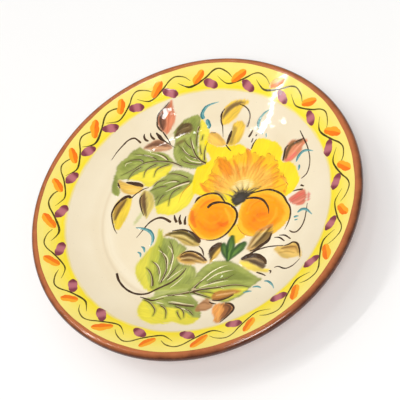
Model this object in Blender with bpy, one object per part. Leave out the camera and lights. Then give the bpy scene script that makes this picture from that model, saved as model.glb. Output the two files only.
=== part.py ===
"""Hand painted earthenware plate, 230 mm across: the clay, and the glaze coats it carries.

Frame: +Z up, origin at the centre of the foot ring's resting face, +Y towards the top of the
painted picture.  Every solid is turned about Z from one section, which is set out from the
fired face: a flat well, a soft curve up to a straight flange, and a round rolled lip.
Each coat lies a given depth under that face, so the coats and the clay nest in each other.
"""

import math

import bmesh
import bpy

# Driving dimensions, in metres and radians.
PLATE_RADIUS = 0.115                  # to the outside of the rolled lip
LIP_RADIUS = 0.0030                   # half the thickness of the lip, glaze included
FLOOR_HEIGHT = 0.0125                 # the glazed well above the table
WELL_EDGE_RADIUS = 0.0565             # the well is flat this far out
CURVE_RADIUS = 0.075                  # the soft curve between the well and the flange
FLANGE_SLOPE = math.radians(27.0)     # the flange above the horizontal
BORDER_INNER_RADIUS = 0.0925          # the yellow border runs from here
BORDER_OUTER_RADIUS = 0.1093          # to here, where the brown lip begins
UNDERSIDE_HEIGHT = 0.0065             # bare clay under the well, above the table
FOOT_OUTER_RADIUS = 0.069             # where the foot ring meets the clay
FOOT_INNER_RADIUS = 0.0585
FOOT_TAPER = 0.0025                   # the ring narrows by this much on each side
FOOT_CHAMFER = 0.0008
GLAZE = 0.0005                        # thickness of a glaze coat
GAP = 0.0003                          # clearance between solids that touch

# How finely the section is turned.
TURN_STEPS = 64
CURVE_STEPS = 5
LIP_STEPS = 9
MERGE_DISTANCE = 0.000001
SHARP_ANGLE = math.radians(35.0)

# Sizes that follow from the ones above.
CLAY_DEPTH = GLAZE + GAP
CURVE_END_RADIUS = WELL_EDGE_RADIUS + CURVE_RADIUS * math.sin(FLANGE_SLOPE)
FLANGE_START_HEIGHT = FLOOR_HEIGHT + CURVE_RADIUS * (1.0 - math.cos(FLANGE_SLOPE))
LIP_CENTRE_RADIUS = PLATE_RADIUS - LIP_RADIUS
FLANGE_END_RADIUS = LIP_CENTRE_RADIUS - LIP_RADIUS * math.sin(FLANGE_SLOPE)
FLANGE_END_HEIGHT = (FLANGE_START_HEIGHT
                     + (FLANGE_END_RADIUS - CURVE_END_RADIUS) * math.tan(FLANGE_SLOPE))
LIP_CENTRE_HEIGHT = FLANGE_END_HEIGHT - LIP_RADIUS * math.cos(FLANGE_SLOPE)


def face_point(radius, depth):
    """The point under the fired face at a radius, measured square to that face."""
    tilt = math.asin(min(max(radius - WELL_EDGE_RADIUS, 0.0) / CURVE_RADIUS,
                         math.sin(FLANGE_SLOPE)))
    height = FLOOR_HEIGHT + CURVE_RADIUS * (1.0 - math.cos(tilt))
    height += max(radius - CURVE_END_RADIUS, 0.0) * math.tan(FLANGE_SLOPE)
    return radius + depth * math.sin(tilt), height - depth * math.cos(tilt)


def face_line(start, end, depth):
    """The section of the upper face from one radius out to another, at a depth."""
    tilts = [FLANGE_SLOPE * step / CURVE_STEPS for step in range(CURVE_STEPS + 1)]
    curve = [WELL_EDGE_RADIUS + CURVE_RADIUS * math.sin(tilt) for tilt in tilts]
    radii = [start] + [radius for radius in curve if start < radius < end] + [end]
    return [face_point(radius, depth) for radius in radii]


def lip_line(depth):
    """The round of the lip, from the flange over the rim and in under it."""
    start = math.pi / 2 + FLANGE_SLOPE
    radius = LIP_RADIUS - depth
    angles = [start - math.pi * step / LIP_STEPS for step in range(LIP_STEPS + 1)]
    return [(LIP_CENTRE_RADIUS + radius * math.cos(angle),
             LIP_CENTRE_HEIGHT + radius * math.sin(angle)) for angle in angles]


def back_point(height, depth):
    """The point on the flange's sloping back at a height, at a depth under its glaze."""
    top_radius, top_height = lip_line(depth)[-1]
    return top_radius - (top_height - height) / math.tan(FLANGE_SLOPE), height


def fired_material(name, colour, roughness):
    """A Principled material for fired clay or glaze."""
    material = bpy.data.materials.new(name)
    material.use_nodes = True
    shader = material.node_tree.nodes["Principled BSDF"]
    shader.inputs["Base Color"].default_value = (*colour, 1.0)
    shader.inputs["Roughness"].default_value = roughness
    shader.inputs["Metallic"].default_value = 0.0
    return material


def turned(name, section, closed, material, plate):
    """Turn a section of (radius, height) points about Z into one solid."""
    shape = bmesh.new()
    points = [shape.verts.new((radius, 0.0, height)) for radius, height in section]
    pairs = list(zip(points, points[1:]))
    if closed:
        pairs.append((points[-1], points[0]))
    edges = [shape.edges.new(pair) for pair in pairs]
    bmesh.ops.spin(shape, geom=points + edges, cent=(0.0, 0.0, 0.0), axis=(0.0, 0.0, 1.0),
                   angle=2.0 * math.pi, steps=TURN_STEPS, use_merge=True, use_duplicate=False)
    bmesh.ops.remove_doubles(shape, verts=shape.verts, dist=MERGE_DISTANCE)
    bmesh.ops.recalc_face_normals(shape, faces=shape.faces)
    mesh = bpy.data.meshes.new(name)
    shape.to_mesh(mesh)
    shape.free()
    mesh.materials.append(material)
    mesh.shade_smooth()
    mesh.set_sharp_from_angle(angle=SHARP_ANGLE)
    piece = bpy.data.objects.new(name, mesh)
    bpy.context.scene.collection.objects.link(piece)
    piece.parent = plate
    return piece


def clay_dish(plate):
    """The thrown red clay dish: well, flange and rolled lip, flat underneath."""
    clay = fired_material("red_clay", (0.42, 0.15, 0.07), 0.75)
    section = face_line(0.0, FLANGE_END_RADIUS, CLAY_DEPTH)
    section += lip_line(CLAY_DEPTH)[1:]
    section.append(back_point(UNDERSIDE_HEIGHT, CLAY_DEPTH))
    section.append((0.0, UNDERSIDE_HEIGHT))
    return turned("clay_dish", section, False, clay, plate)


def foot_ring(plate):
    """The foot, a coil of the same clay luted under the dish and turned true."""
    clay = fired_material("foot_clay", (0.46, 0.18, 0.09), 0.85)
    top = UNDERSIDE_HEIGHT - GAP
    outer = FOOT_OUTER_RADIUS - FOOT_TAPER
    inner = FOOT_INNER_RADIUS + FOOT_TAPER
    section = [(FOOT_INNER_RADIUS, top),
               (FOOT_OUTER_RADIUS, top),
               (outer, FOOT_CHAMFER),
               (outer - FOOT_CHAMFER, 0.0),
               (inner + FOOT_CHAMFER, 0.0),
               (inner, FOOT_CHAMFER)]
    return turned("foot_ring", section, True, clay, plate)


def coat(name, outer_line, inner_line, material, plate):
    """A ring of glaze between its fired surface and the side that lies on the clay."""
    return turned(name, outer_line + inner_line[::-1], True, material, plate)


def face_glaze(plate):
    """The cream coat over the well and the lower flange, a disc with its centre on the axis."""
    cream = fired_material("cream_glaze", (0.86, 0.74, 0.55), 0.12)
    end = BORDER_INNER_RADIUS - GAP / 2
    section = face_line(0.0, end, 0.0) + face_line(0.0, end, GLAZE)[::-1]
    return turned("face_glaze", section, False, cream, plate)


def border_glaze(plate):
    """The yellow band of the border, on the upper flange."""
    yellow = fired_material("yellow_glaze", (0.95, 0.78, 0.05), 0.12)
    start = BORDER_INNER_RADIUS + GAP / 2
    end = BORDER_OUTER_RADIUS - GAP / 2
    return coat("border_glaze", face_line(start, end, 0.0), face_line(start, end, GLAZE),
                yellow, plate)


def lip_glaze(plate):
    """The brown coat that wraps the rolled lip from the border to the back."""
    brown = fired_material("brown_glaze", (0.40, 0.14, 0.06), 0.15)
    start = face_point(BORDER_OUTER_RADIUS + GAP / 2, 0.0)
    inner_start = face_point(BORDER_OUTER_RADIUS + GAP / 2, GLAZE)
    return coat("lip_glaze", [start] + lip_line(0.0), [inner_start] + lip_line(GLAZE),
                brown, plate)


def back_glaze(plate):
    """The clear honey coat over the back, from under the lip in to the foot ring."""
    honey = fired_material("back_glaze", (0.44, 0.17, 0.07), 0.2)
    top = lip_line(0.0)[-1][1] - GAP
    outer_floor = UNDERSIDE_HEIGHT - CLAY_DEPTH
    inner_floor = UNDERSIDE_HEIGHT - GAP
    inner_top = top + GLAZE * math.cos(FLANGE_SLOPE)
    foot_side = FOOT_OUTER_RADIUS + GAP
    outer_line = [back_point(top, 0.0), back_point(outer_floor, 0.0), (foot_side, outer_floor)]
    inner_line = [back_point(inner_top, GLAZE), back_point(inner_floor, GLAZE),
                  (foot_side, inner_floor)]
    return coat("back_glaze", outer_line, inner_line, honey, plate)


def recess_glaze(plate):
    """The disc of the same clear coat inside the foot ring."""
    honey = fired_material("recess_glaze", (0.44, 0.17, 0.07), 0.2)
    top = UNDERSIDE_HEIGHT - GAP
    bottom = top - GLAZE
    edge = FOOT_INNER_RADIUS - GAP
    section = [(0.0, top), (edge, top), (edge, bottom), (0.0, bottom)]
    return turned("recess_glaze", section, False, honey, plate)


def build_plate():
    """All the solids of the plate, on one empty at the centre of its resting face."""
    plate = bpy.data.objects.new("plate_origin", None)
    bpy.context.scene.collection.objects.link(plate)
    for make in (clay_dish, foot_ring, face_glaze, border_glaze, lip_glaze, back_glaze,
                 recess_glaze):
        make(plate)


for old in list(bpy.data.objects):
    bpy.data.objects.remove(old, do_unlink=True)
build_plate()
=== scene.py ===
import math

import bpy
import numpy as np
from mathutils import Matrix, Vector


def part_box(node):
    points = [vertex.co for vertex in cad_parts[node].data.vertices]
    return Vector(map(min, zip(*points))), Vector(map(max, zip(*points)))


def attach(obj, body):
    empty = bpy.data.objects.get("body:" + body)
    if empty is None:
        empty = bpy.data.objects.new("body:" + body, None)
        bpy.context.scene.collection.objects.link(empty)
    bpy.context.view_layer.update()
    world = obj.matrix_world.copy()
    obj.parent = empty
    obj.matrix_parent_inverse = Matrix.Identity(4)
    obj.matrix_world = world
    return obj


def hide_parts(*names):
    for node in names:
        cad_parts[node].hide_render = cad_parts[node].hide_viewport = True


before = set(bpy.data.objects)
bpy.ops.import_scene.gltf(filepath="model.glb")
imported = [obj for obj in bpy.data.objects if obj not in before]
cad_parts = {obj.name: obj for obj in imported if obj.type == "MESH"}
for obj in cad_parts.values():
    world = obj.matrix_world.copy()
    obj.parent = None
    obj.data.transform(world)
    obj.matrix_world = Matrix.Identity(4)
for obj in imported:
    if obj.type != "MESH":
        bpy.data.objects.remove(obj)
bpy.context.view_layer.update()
MM = 0.001


# ---------------------------------------------------------------------------------------------
# The table, the camera and the lamps.
# The plate lies on a plain pale table in a bright white room.  A tall narrow window, a pane
# beside it and two small bulbs are what its glaze mirrors; a soft overhead lamp and the light
# that comes back from the left wall fill the rest.

RIM_HEIGHT = 28.238 * MM
CAMERA_AZIMUTH = math.radians(31.76)
CAMERA_ELEVATION = math.radians(53.82)
CAMERA_ROLL = math.radians(31.76)
CAMERA_DISTANCE = 0.69
LAMP_DISTANCE = 2.2
DAYLIGHT = (1.0, 0.98, 0.95)
PALE_GREY = (0.93, 0.93, 0.93, 1.0)


def direction(azimuth, elevation):
    """The unit vector towards a place in the room; azimuth 0 looks along +Y."""
    return Vector((math.sin(azimuth) * math.cos(elevation),
                   -math.cos(azimuth) * math.cos(elevation),
                   math.sin(elevation)))


def facing(thing, place, towards, up):
    """Put a camera or lamp at a place, looking towards a point, with up to the top."""
    back = (place - towards).normalized()
    right = up.cross(back).normalized()
    turn = Matrix((right, back.cross(right), back)).transposed().to_4x4()
    thing.matrix_world = Matrix.Translation(place) @ turn


def add_camera():
    """A long lens, turned about its own axis so that the plate leans in the view."""
    lens = bpy.data.cameras.new("camera")
    lens.sensor_width = 36.0
    lens.lens = 93.6
    lens.shift_x = 0.024
    lens.shift_y = -0.005
    camera = bpy.data.objects.new("camera", lens)
    bpy.context.scene.collection.objects.link(camera)
    middle = Vector((0.0, 0.0, RIM_HEIGHT))
    back = direction(CAMERA_AZIMUTH, CAMERA_ELEVATION)
    level = Vector((math.cos(CAMERA_AZIMUTH), math.sin(CAMERA_AZIMUTH), 0.0))
    up = level * math.sin(CAMERA_ROLL) + back.cross(level) * math.cos(CAMERA_ROLL)
    facing(camera, middle + back * CAMERA_DISTANCE, middle, up)
    bpy.context.scene.camera = camera


def add_lamp(name, place, long_side, size, power, colour, mirrored=True):
    """A flat lamp turned to the plate; only a mirrored one shows in the glaze."""
    light = bpy.data.lights.new(name, "AREA")
    light.shape = "RECTANGLE"
    light.size, light.size_y = size
    light.energy = power
    light.color = colour
    lamp = bpy.data.objects.new(name, light)
    bpy.context.scene.collection.objects.link(lamp)
    facing(lamp, place, Vector((0.0, 0.0, RIM_HEIGHT)), long_side)
    lamp.visible_glossy = mirrored


add_camera()
for name, way, long_side, size, power in (
        ("window", (-0.55, 0.10, 0.80), (0.31, 0.48, 0.13), (0.035, 1.3), 9.0),
        ("side_pane", (-0.625, 0.14, 0.768), (0.11, 0.12, 0.08), (0.022, 0.18), 0.7),
        ("near_bulb", (-0.092, -0.054, 0.994), (-0.28, 0.96, 0.0), (0.07, 0.32), 1.7),
        ("far_bulb", (-0.26, 0.40, 0.88), (0.3, 1.0, 0.0), (0.06, 0.06), 0.27)):
    add_lamp(name, Vector(way) * LAMP_DISTANCE, Vector(long_side), size, power, DAYLIGHT)
add_lamp("ceiling", direction(math.radians(24.0), math.radians(57.0)) * LAMP_DISTANCE,
         Vector((0.0, 1.0, 0.0)), (0.75, 0.75), 28.0, (1.0, 0.995, 0.98))
add_lamp("left_wall", Vector((-0.40, 0.42, 0.81)) * LAMP_DISTANCE, Vector((0.7, 0.7, 0.0)),
         (2.6, 2.6), 11.6, (1.0, 0.99, 0.97), mirrored=False)
world = bpy.data.worlds.new("white_room")
world.use_nodes = True
sky = world.node_tree.nodes["Background"]
sky.inputs["Color"].default_value = (1.0, 0.99, 0.98, 1.0)
sky.inputs["Strength"].default_value = 0.3
bpy.context.scene.world = world
bpy.context.scene.view_settings.view_transform = "Standard"

bpy.ops.object.select_all(action="DESELECT")
bpy.ops.mesh.primitive_plane_add(size=6.0, location=(0.0, 0.0, 0.0))
table = bpy.context.object
table.name = "table"
paper = bpy.data.materials.new("table_top")
paper.use_nodes = True
paper_shader = paper.node_tree.nodes["Principled BSDF"]
paper_shader.inputs["Base Color"].default_value = PALE_GREY
paper_shader.inputs["Roughness"].default_value = 0.9
table.data.materials.append(paper)


# ---------------------------------------------------------------------------------------------
# The clay dish.
# Red earthenware thrown on a wheel in one go: a flat well, a soft curve up to the flange, and a
# lip rolled over with the fingers.  The coats of glaze lie on it, so all of them share its shape.

FLOOR_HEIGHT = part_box("face_glaze")[0][2] + 0.5 * MM
WELL_EDGE_RADIUS = 56.5 * MM
CURVE_RADIUS = 75.0 * MM
FLANGE_SLOPE = math.radians(27.0)
CURVE_END_RADIUS = WELL_EDGE_RADIUS + CURVE_RADIUS * math.sin(FLANGE_SLOPE)
LIP_RADIUS = 3.0 * MM
PLATE_RADIUS = 115.0 * MM
LIP_CENTRE_RADIUS = PLATE_RADIUS - LIP_RADIUS
FLANGE_END_RADIUS = LIP_CENTRE_RADIUS - LIP_RADIUS * math.sin(FLANGE_SLOPE)
UNDERSIDE_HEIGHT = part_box("clay_dish")[0][2]
FOOT_OUTER_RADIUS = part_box("foot_ring")[1][0]
COAT = 0.5 * MM
CLAY_DEPTH = 0.6 * MM
SMOOTH_ANGLE = math.radians(35.0)
FLAT_SHARE = 0.62
RIM_DROP = 0.34 * MM
OUT_OF_ROUND = 0.0018


def face_tilt(radius):
    """How far the fired face leans in towards the middle at a radius."""
    rise = np.clip((radius - WELL_EDGE_RADIUS) / CURVE_RADIUS, 0.0, math.sin(FLANGE_SLOPE))
    return np.arcsin(rise)


def face_height(radius):
    """The height of the fired face at a radius."""
    height = FLOOR_HEIGHT + CURVE_RADIUS * (1.0 - np.cos(face_tilt(radius)))
    return height + np.maximum(radius - CURVE_END_RADIUS, 0.0) * math.tan(FLANGE_SLOPE)


LIP_CENTRE_HEIGHT = float(face_height(FLANGE_END_RADIUS)) - LIP_RADIUS * math.cos(FLANGE_SLOPE)


def face_section(start, end, depth, count):
    """Points of the face's section between two radii, at a depth under the fired face."""
    radii = np.linspace(start, end, count)
    tilts = face_tilt(radii)
    return list(zip(radii + depth * np.sin(tilts), face_height(radii) - depth * np.cos(tilts)))


def lip_section(depth, count):
    """Points round the lip's outer half, from the flange's face to its back."""
    angles = np.radians(np.linspace(90.0, -90.0, count)) + FLANGE_SLOPE
    radius = LIP_RADIUS - depth
    return list(zip(LIP_CENTRE_RADIUS + radius * np.cos(angles),
                    LIP_CENTRE_HEIGHT + radius * np.sin(angles)))


def back_point(height, depth):
    """The point on the flange's back at a height, at a depth under its coat."""
    radius, top = lip_section(depth, 2)[-1]
    return radius - (top - height) / math.tan(FLANGE_SLOPE), height


def select_none():
    """Leave edit mode and deselect everything, so that an operator acts on one piece only."""
    if bpy.context.object and bpy.context.object.mode != "OBJECT":
        bpy.ops.object.mode_set(mode="OBJECT")
    bpy.ops.object.select_all(action="DESELECT")


def turned(name, section, closed, steps):
    """Draw a section point by point in the XZ plane and turn it about Z."""
    select_none()
    bpy.ops.mesh.primitive_plane_add(size=MM, location=(section[0][0], 0.0, section[0][1]))
    piece = bpy.context.object
    piece.name = piece.data.name = name
    bpy.ops.object.transform_apply(location=True, rotation=False, scale=False)
    bpy.ops.object.mode_set(mode="EDIT")
    bpy.ops.mesh.merge(type="CENTER")
    for (radius, height), (next_radius, next_height) in zip(section, section[1:]):
        move = (next_radius - radius, 0.0, next_height - height)
        bpy.ops.mesh.extrude_region_move(TRANSFORM_OT_translate={"value": move})
    if closed:
        bpy.ops.object.mode_set(mode="OBJECT")
        for corner in (piece.data.vertices[0], piece.data.vertices[-1]):
            corner.select = True
        bpy.ops.object.mode_set(mode="EDIT")
        bpy.ops.mesh.edge_face_add()
    bpy.ops.mesh.select_all(action="SELECT")
    bpy.ops.mesh.spin(steps=steps, angle=2.0 * math.pi, center=(0.0, 0.0, 0.0),
                      axis=(0.0, 0.0, 1.0))
    bpy.ops.mesh.select_all(action="SELECT")
    bpy.ops.mesh.remove_doubles(threshold=0.002 * MM)
    bpy.ops.mesh.normals_make_consistent(inside=False)
    bpy.ops.object.mode_set(mode="OBJECT")
    bpy.ops.object.shade_smooth_by_angle(angle=SMOOTH_ANGLE)
    return piece


def points_of(mesh):
    """The places of a mesh's points, one row for each."""
    place = np.empty(len(mesh.vertices) * 3)
    mesh.vertices.foreach_get("co", place)
    return place.reshape(-1, 3)


def move_points(mesh, place):
    """Put a mesh's points at new places."""
    mesh.vertices.foreach_set("co", place.ravel())
    mesh.update()


def settle(piece):
    """Give a piece the plate's own unevenness: no thrown rim is quite flat or quite round.  The
    middle stays flat, and the rim dropped a little as it dried."""
    place = points_of(piece.data)
    angle = np.arctan2(place[:, 1], place[:, 0])
    reach = np.clip(np.hypot(place[:, 0], place[:, 1]) / PLATE_RADIUS, 0.0, 1.0)
    reach = np.clip((reach - FLAT_SHARE) / (1.0 - FLAT_SHARE), 0.0, 1.0) ** 2
    lift = 0.16 * np.sin(2.0 * angle + 0.7) + 0.08 * np.sin(3.0 * angle + 2.1)
    lift += 0.05 * np.sin(7.0 * angle + 4.0)
    place[:, 2] += (lift * MM - RIM_DROP) * reach
    draw_in = 0.5 + 0.3 * np.sin(2.0 * angle + 3.0) + 0.2 * np.sin(5.0 * angle)
    place[:, :2] *= (1.0 - OUT_OF_ROUND * draw_in * reach)[:, None]
    move_points(piece.data, place)


clay_section = face_section(0.0, FLANGE_END_RADIUS, CLAY_DEPTH, 40)
clay_section += lip_section(CLAY_DEPTH, 14)[1:]
clay_section.append(back_point(UNDERSIDE_HEIGHT, CLAY_DEPTH))
clay_section.append((0.0, UNDERSIDE_HEIGHT))
clay_dish = turned("thrown_dish", clay_section, False, steps=192)
settle(clay_dish)
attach(clay_dish, "root")
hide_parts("clay_dish")


# ---------------------------------------------------------------------------------------------
# The foot ring.
# A coil of the same red clay luted under the dish and turned true while leather hard.  It is
# left bare so that it can't stick to the kiln shelf, and years of tables have rubbed its edge.

FOOT_TAPER = 2.5 * MM
FOOT_WIDTH = 10.5 * MM
FOOT_EDGE = 0.8 * MM


def new_material(name, roughness):
    """A material on the standard shader, with its node tree."""
    material = bpy.data.materials.new(name)
    material.use_nodes = True
    tree = material.node_tree
    tree.nodes["Principled BSDF"].inputs["Roughness"].default_value = roughness
    return material, tree


def add_node(tree, kind, sockets, **fields):
    """Add a shader node.  fields are its own settings, and sockets says what goes into each
    input, by name or number: the output of another node, or a plain value."""
    node = tree.nodes.new("ShaderNode" + kind)
    for field, value in fields.items():
        setattr(node, field, value)
    for socket, value in sockets.items():
        if isinstance(value, bpy.types.NodeSocket):
            tree.links.new(value, node.inputs[socket])
        else:
            node.inputs[socket].default_value = value
    return node.outputs


def noise(tree, place, scale, detail=2.0, roughness=0.5):
    """Soft clouds from 0 to 1: the higher the scale, the finer they are."""
    sockets = {"Vector": place, "Scale": scale, "Detail": detail, "Roughness": roughness}
    return add_node(tree, "TexNoise", sockets)["Fac"]


def specks(tree, place, scale):
    """How far each place is from the nearest of many scattered specks."""
    return add_node(tree, "TexVoronoi", {"Vector": place, "Scale": scale})["Distance"]


def spread(tree, value, low, high, to_low=0.0, to_high=1.0, curve="LINEAR"):
    """Spread a value from one range over another."""
    sockets = {"Value": value, "From Min": low, "From Max": high, "To Min": to_low,
               "To Max": to_high}
    return add_node(tree, "MapRange", sockets, interpolation_type=curve)["Result"]


def maths(tree, operation, *values, clamp=False):
    """One sum, on up to three values."""
    sockets = dict(enumerate(values))
    return add_node(tree, "Math", sockets, operation=operation, use_clamp=clamp)["Value"]


def mix(tree, factor, first, second, blend="MIX"):
    """Mix two colours, each a node's output or amounts of red, green and blue."""
    first, second = (colour if isinstance(colour, bpy.types.NodeSocket) else (*colour, 1.0)
                     for colour in (first, second))
    sockets = {"Factor": factor, "A": first, "B": second}
    return add_node(tree, "Mix", sockets, data_type="RGBA", blend_type=blend)["Result"]


def finish_surface(tree, colour, height, strength, distance):
    """Give the shader its colour, and a relief of a strength and a depth in metres."""
    shader = tree.nodes["Principled BSDF"]
    bump = add_node(tree, "Bump", {"Height": height, "Strength": strength, "Distance": distance})
    tree.links.new(colour, shader.inputs["Base Color"])
    tree.links.new(bump["Normal"], shader.inputs["Normal"])


def clay_material(name, colour, dark, roughness):
    """Fired clay: grog, iron specks and the fine lines that turning leaves."""
    material, tree = new_material(name, roughness)
    place = add_node(tree, "TexCoord", {})["Object"]
    tone = mix(tree, noise(tree, place, 45.0, 6.0), dark, colour)
    iron = spread(tree, specks(tree, place, 900.0), 0.05, 0.22)
    speckled = mix(tree, 0.35, tone, iron, "MULTIPLY")
    finish_surface(tree, speckled, noise(tree, place, 1400.0), 0.25, 0.2 * MM)
    return material


foot_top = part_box("foot_ring")[1][2] + 0.25 * MM
foot_outer = FOOT_OUTER_RADIUS - FOOT_TAPER
foot_inner = FOOT_OUTER_RADIUS - FOOT_WIDTH + FOOT_TAPER
foot_section = [(FOOT_OUTER_RADIUS - FOOT_WIDTH, foot_top),
                (FOOT_OUTER_RADIUS, foot_top),
                (FOOT_OUTER_RADIUS - 0.25 * FOOT_TAPER, foot_top * 0.72),
                (FOOT_OUTER_RADIUS - 0.75 * FOOT_TAPER, foot_top * 0.38),
                (foot_outer, FOOT_EDGE),
                (foot_outer - 0.3 * FOOT_EDGE, 0.3 * FOOT_EDGE),
                (foot_outer - FOOT_EDGE, 0.0),
                (foot_inner + FOOT_EDGE, 0.0),
                (foot_inner + 0.3 * FOOT_EDGE, 0.3 * FOOT_EDGE),
                (foot_inner, FOOT_EDGE),
                (foot_inner - 0.5 * FOOT_TAPER, foot_top * 0.5)]
foot_ring = turned("turned_foot", foot_section, True, steps=192)
clay = clay_material("bare_clay", (0.44, 0.16, 0.075), (0.33, 0.11, 0.05), 0.85)
clay_dish.data.materials.append(clay)
foot_ring.data.materials.append(clay)
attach(foot_ring, "root")
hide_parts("foot_ring")


# ---------------------------------------------------------------------------------------------
# The coats on the back.
# A clear honey glaze, poured over the back and wiped off the foot.  It lies over the throwing
# rings, which stand in its surface as low ripples.

RING_PITCH = 6.5 * MM
RING_DEPTH = 0.16 * MM
SPIRAL_DEPTH = 0.12 * MM
BACK_ROWS = 48
RECESS_ROWS = 40
back_low = UNDERSIDE_HEIGHT - COAT
back_top = lip_section(0.0, 2)[-1][1]
foot_side = FOOT_OUTER_RADIUS + 0.1 * MM
outside = []
for height in np.linspace(back_top, back_low, BACK_ROWS):
    radius, height = back_point(height, 0.0)
    ring = RING_DEPTH * math.sin(2.0 * math.pi * radius / RING_PITCH)
    outside.append((radius, height + ring * min(1.0, (back_top - height) / RING_PITCH)))
outside[-1] = back_point(back_low, 0.0)
outside.append((foot_side, back_low))
inside = [(foot_side, UNDERSIDE_HEIGHT), back_point(UNDERSIDE_HEIGHT, CLAY_DEPTH),
          back_point(back_top, CLAY_DEPTH)]
back_glaze = turned("back_coat", outside + inside, True, steps=256)
settle(back_glaze)
honey = clay_material("honey_glaze", (0.42, 0.15, 0.06), (0.27, 0.085, 0.035), 0.12)
back_glaze.data.materials.append(honey)
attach(back_glaze, "root")
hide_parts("back_glaze")

recess_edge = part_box("recess_glaze")[1][0]
spiral = []
for radius in np.linspace(0.0, recess_edge, RECESS_ROWS):
    dip = SPIRAL_DEPTH * math.cos(2.0 * math.pi * radius / RING_PITCH)
    spiral.append((radius, back_low + dip * min(1.0, (recess_edge - radius) / RING_PITCH)))
recess_section = [(0.0, UNDERSIDE_HEIGHT), (recess_edge, UNDERSIDE_HEIGHT)] + spiral[::-1]
recess_glaze = turned("recess_coat", recess_section, False, steps=192)
recess_glaze.data.materials.append(honey)
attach(recess_glaze, "root")
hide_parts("recess_glaze")


# ---------------------------------------------------------------------------------------------
# The cream face.
# A cream glaze over the well and the flange.  The potter's washes of colour are laid on it raw
# and melt into it in the kiln, so they are kept as a colour at each point of this surface.

FACE_CELLS = 288
PAINTED_RADIUS = 93.5 * MM
FACE_END_RADIUS = 109.8 * MM


def around_disc(square):
    """Where a point of a square lands on a disc, by rings round the middle."""
    x, y = square[:, 0], square[:, 1]
    flat = np.abs(x) > np.abs(y)
    radius = np.where(flat, x, y)
    with np.errstate(divide="ignore", invalid="ignore"):
        angle = np.where(flat, np.pi / 4 * np.nan_to_num(y / x),
                         np.pi / 2 - np.pi / 4 * np.nan_to_num(x / y))
    return radius * np.cos(angle), radius * np.sin(angle)


def face_coat():
    """A fine disc laid on the fired face, with a rim and an underside extruded ring by ring."""
    rings = [(PAINTED_RADIUS + 4.0 * MM, 0.0), (FACE_END_RADIUS - 5.0 * MM, 0.0),
             (FACE_END_RADIUS, 0.0), (FACE_END_RADIUS, COAT), (PAINTED_RADIUS, COAT),
             (CURVE_END_RADIUS, COAT), (82.0 * MM, COAT), (74.0 * MM, COAT), (65.0 * MM, COAT),
             (WELL_EDGE_RADIUS, COAT)]
    select_none()
    bpy.ops.mesh.primitive_grid_add(x_subdivisions=FACE_CELLS, y_subdivisions=FACE_CELLS, size=2.0)
    piece = bpy.context.object
    piece.name = piece.data.name = "cream_face"
    bpy.ops.object.mode_set(mode="EDIT")
    bpy.ops.mesh.region_to_loop()
    for _ in rings:
        bpy.ops.mesh.extrude_edges_move(TRANSFORM_OT_translate={"value": (0.0, 0.0, -1.0)})
    bpy.ops.mesh.edge_face_add()
    bpy.ops.object.mode_set(mode="OBJECT")
    place = points_of(piece.data)
    ring = np.rint(-place[:, 2]).astype(int)
    x, y = around_disc(place)
    reach = np.array([PAINTED_RADIUS] + [radius for radius, _ in rings])[ring]
    depth = np.array([0.0] + [depth for _, depth in rings])[ring]
    x, y = x * reach, y * reach
    radius = np.hypot(x, y)
    tilt = face_tilt(radius)
    draw_in = 1.0 + depth * np.sin(tilt) / np.maximum(radius, MM)
    place = np.column_stack((x * draw_in, y * draw_in, face_height(radius) - depth * np.cos(tilt)))
    move_points(piece.data, place)
    bpy.ops.object.mode_set(mode="EDIT")
    bpy.ops.mesh.select_all(action="SELECT")
    bpy.ops.mesh.normals_make_consistent(inside=False)
    bpy.ops.object.mode_set(mode="OBJECT")
    bpy.ops.object.shade_smooth_by_angle(angle=SMOOTH_ANGLE)
    return piece, place[:, :2] / MM, ring == 0


cream_face, wet_points, on_top = face_coat()
wet_colour = np.zeros((len(wet_points), 4))


def ink(red, green, blue):
    """A colour as the eye reads it, turned into the amounts of light the shader works with."""
    tone = np.array((red, green, blue)) / 255.0
    return tuple(np.where(tone <= 0.04045, tone / 12.92, ((tone + 0.055) / 1.055) ** 2.4))


def smooth_line(points, closed=False, pieces=6):
    """A smooth line through a few points; a third column, such as a width, goes with them."""
    line = np.array(points, dtype=float)
    if closed:
        line = np.vstack((line[-1], line, line[0], line[1]))
    else:
        line = np.vstack((2 * line[0] - line[1], line, 2 * line[-1] - line[-2]))
    bits = []
    for a, b, c, d in zip(line, line[1:], line[2:], line[3:]):
        for t in np.arange(pieces) / pieces:
            bits.append(0.5 * (2 * b + (c - a) * t + (2 * a - 5 * b + 4 * c - d) * t ** 2
                               + (3 * b - a - 3 * c + d) * t ** 3))
    if not closed:
        bits.append(line[-2])
    return np.array(bits)


def blend_in(where, amount, colour):
    """Let a colour at each of these points into the wet glaze, over what is there already."""
    amount = np.clip(amount, 0.0, 1.0)[:, None]
    under = wet_colour[where, 3:] * (1.0 - amount)
    total = np.maximum(amount + under, 1e-6)
    wet_colour[where, :3] = (amount * colour + under * wet_colour[where, :3]) / total
    wet_colour[where, 3:] = amount + under


def near(points, margin):
    """The points of the face inside the box round a line, and a margin more."""
    low, high = points[:, :2].min(axis=0) - margin, points[:, :2].max(axis=0) + margin
    inside = np.all((wet_points > low) & (wet_points < high), axis=1) & on_top
    return np.flatnonzero(inside)


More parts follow.
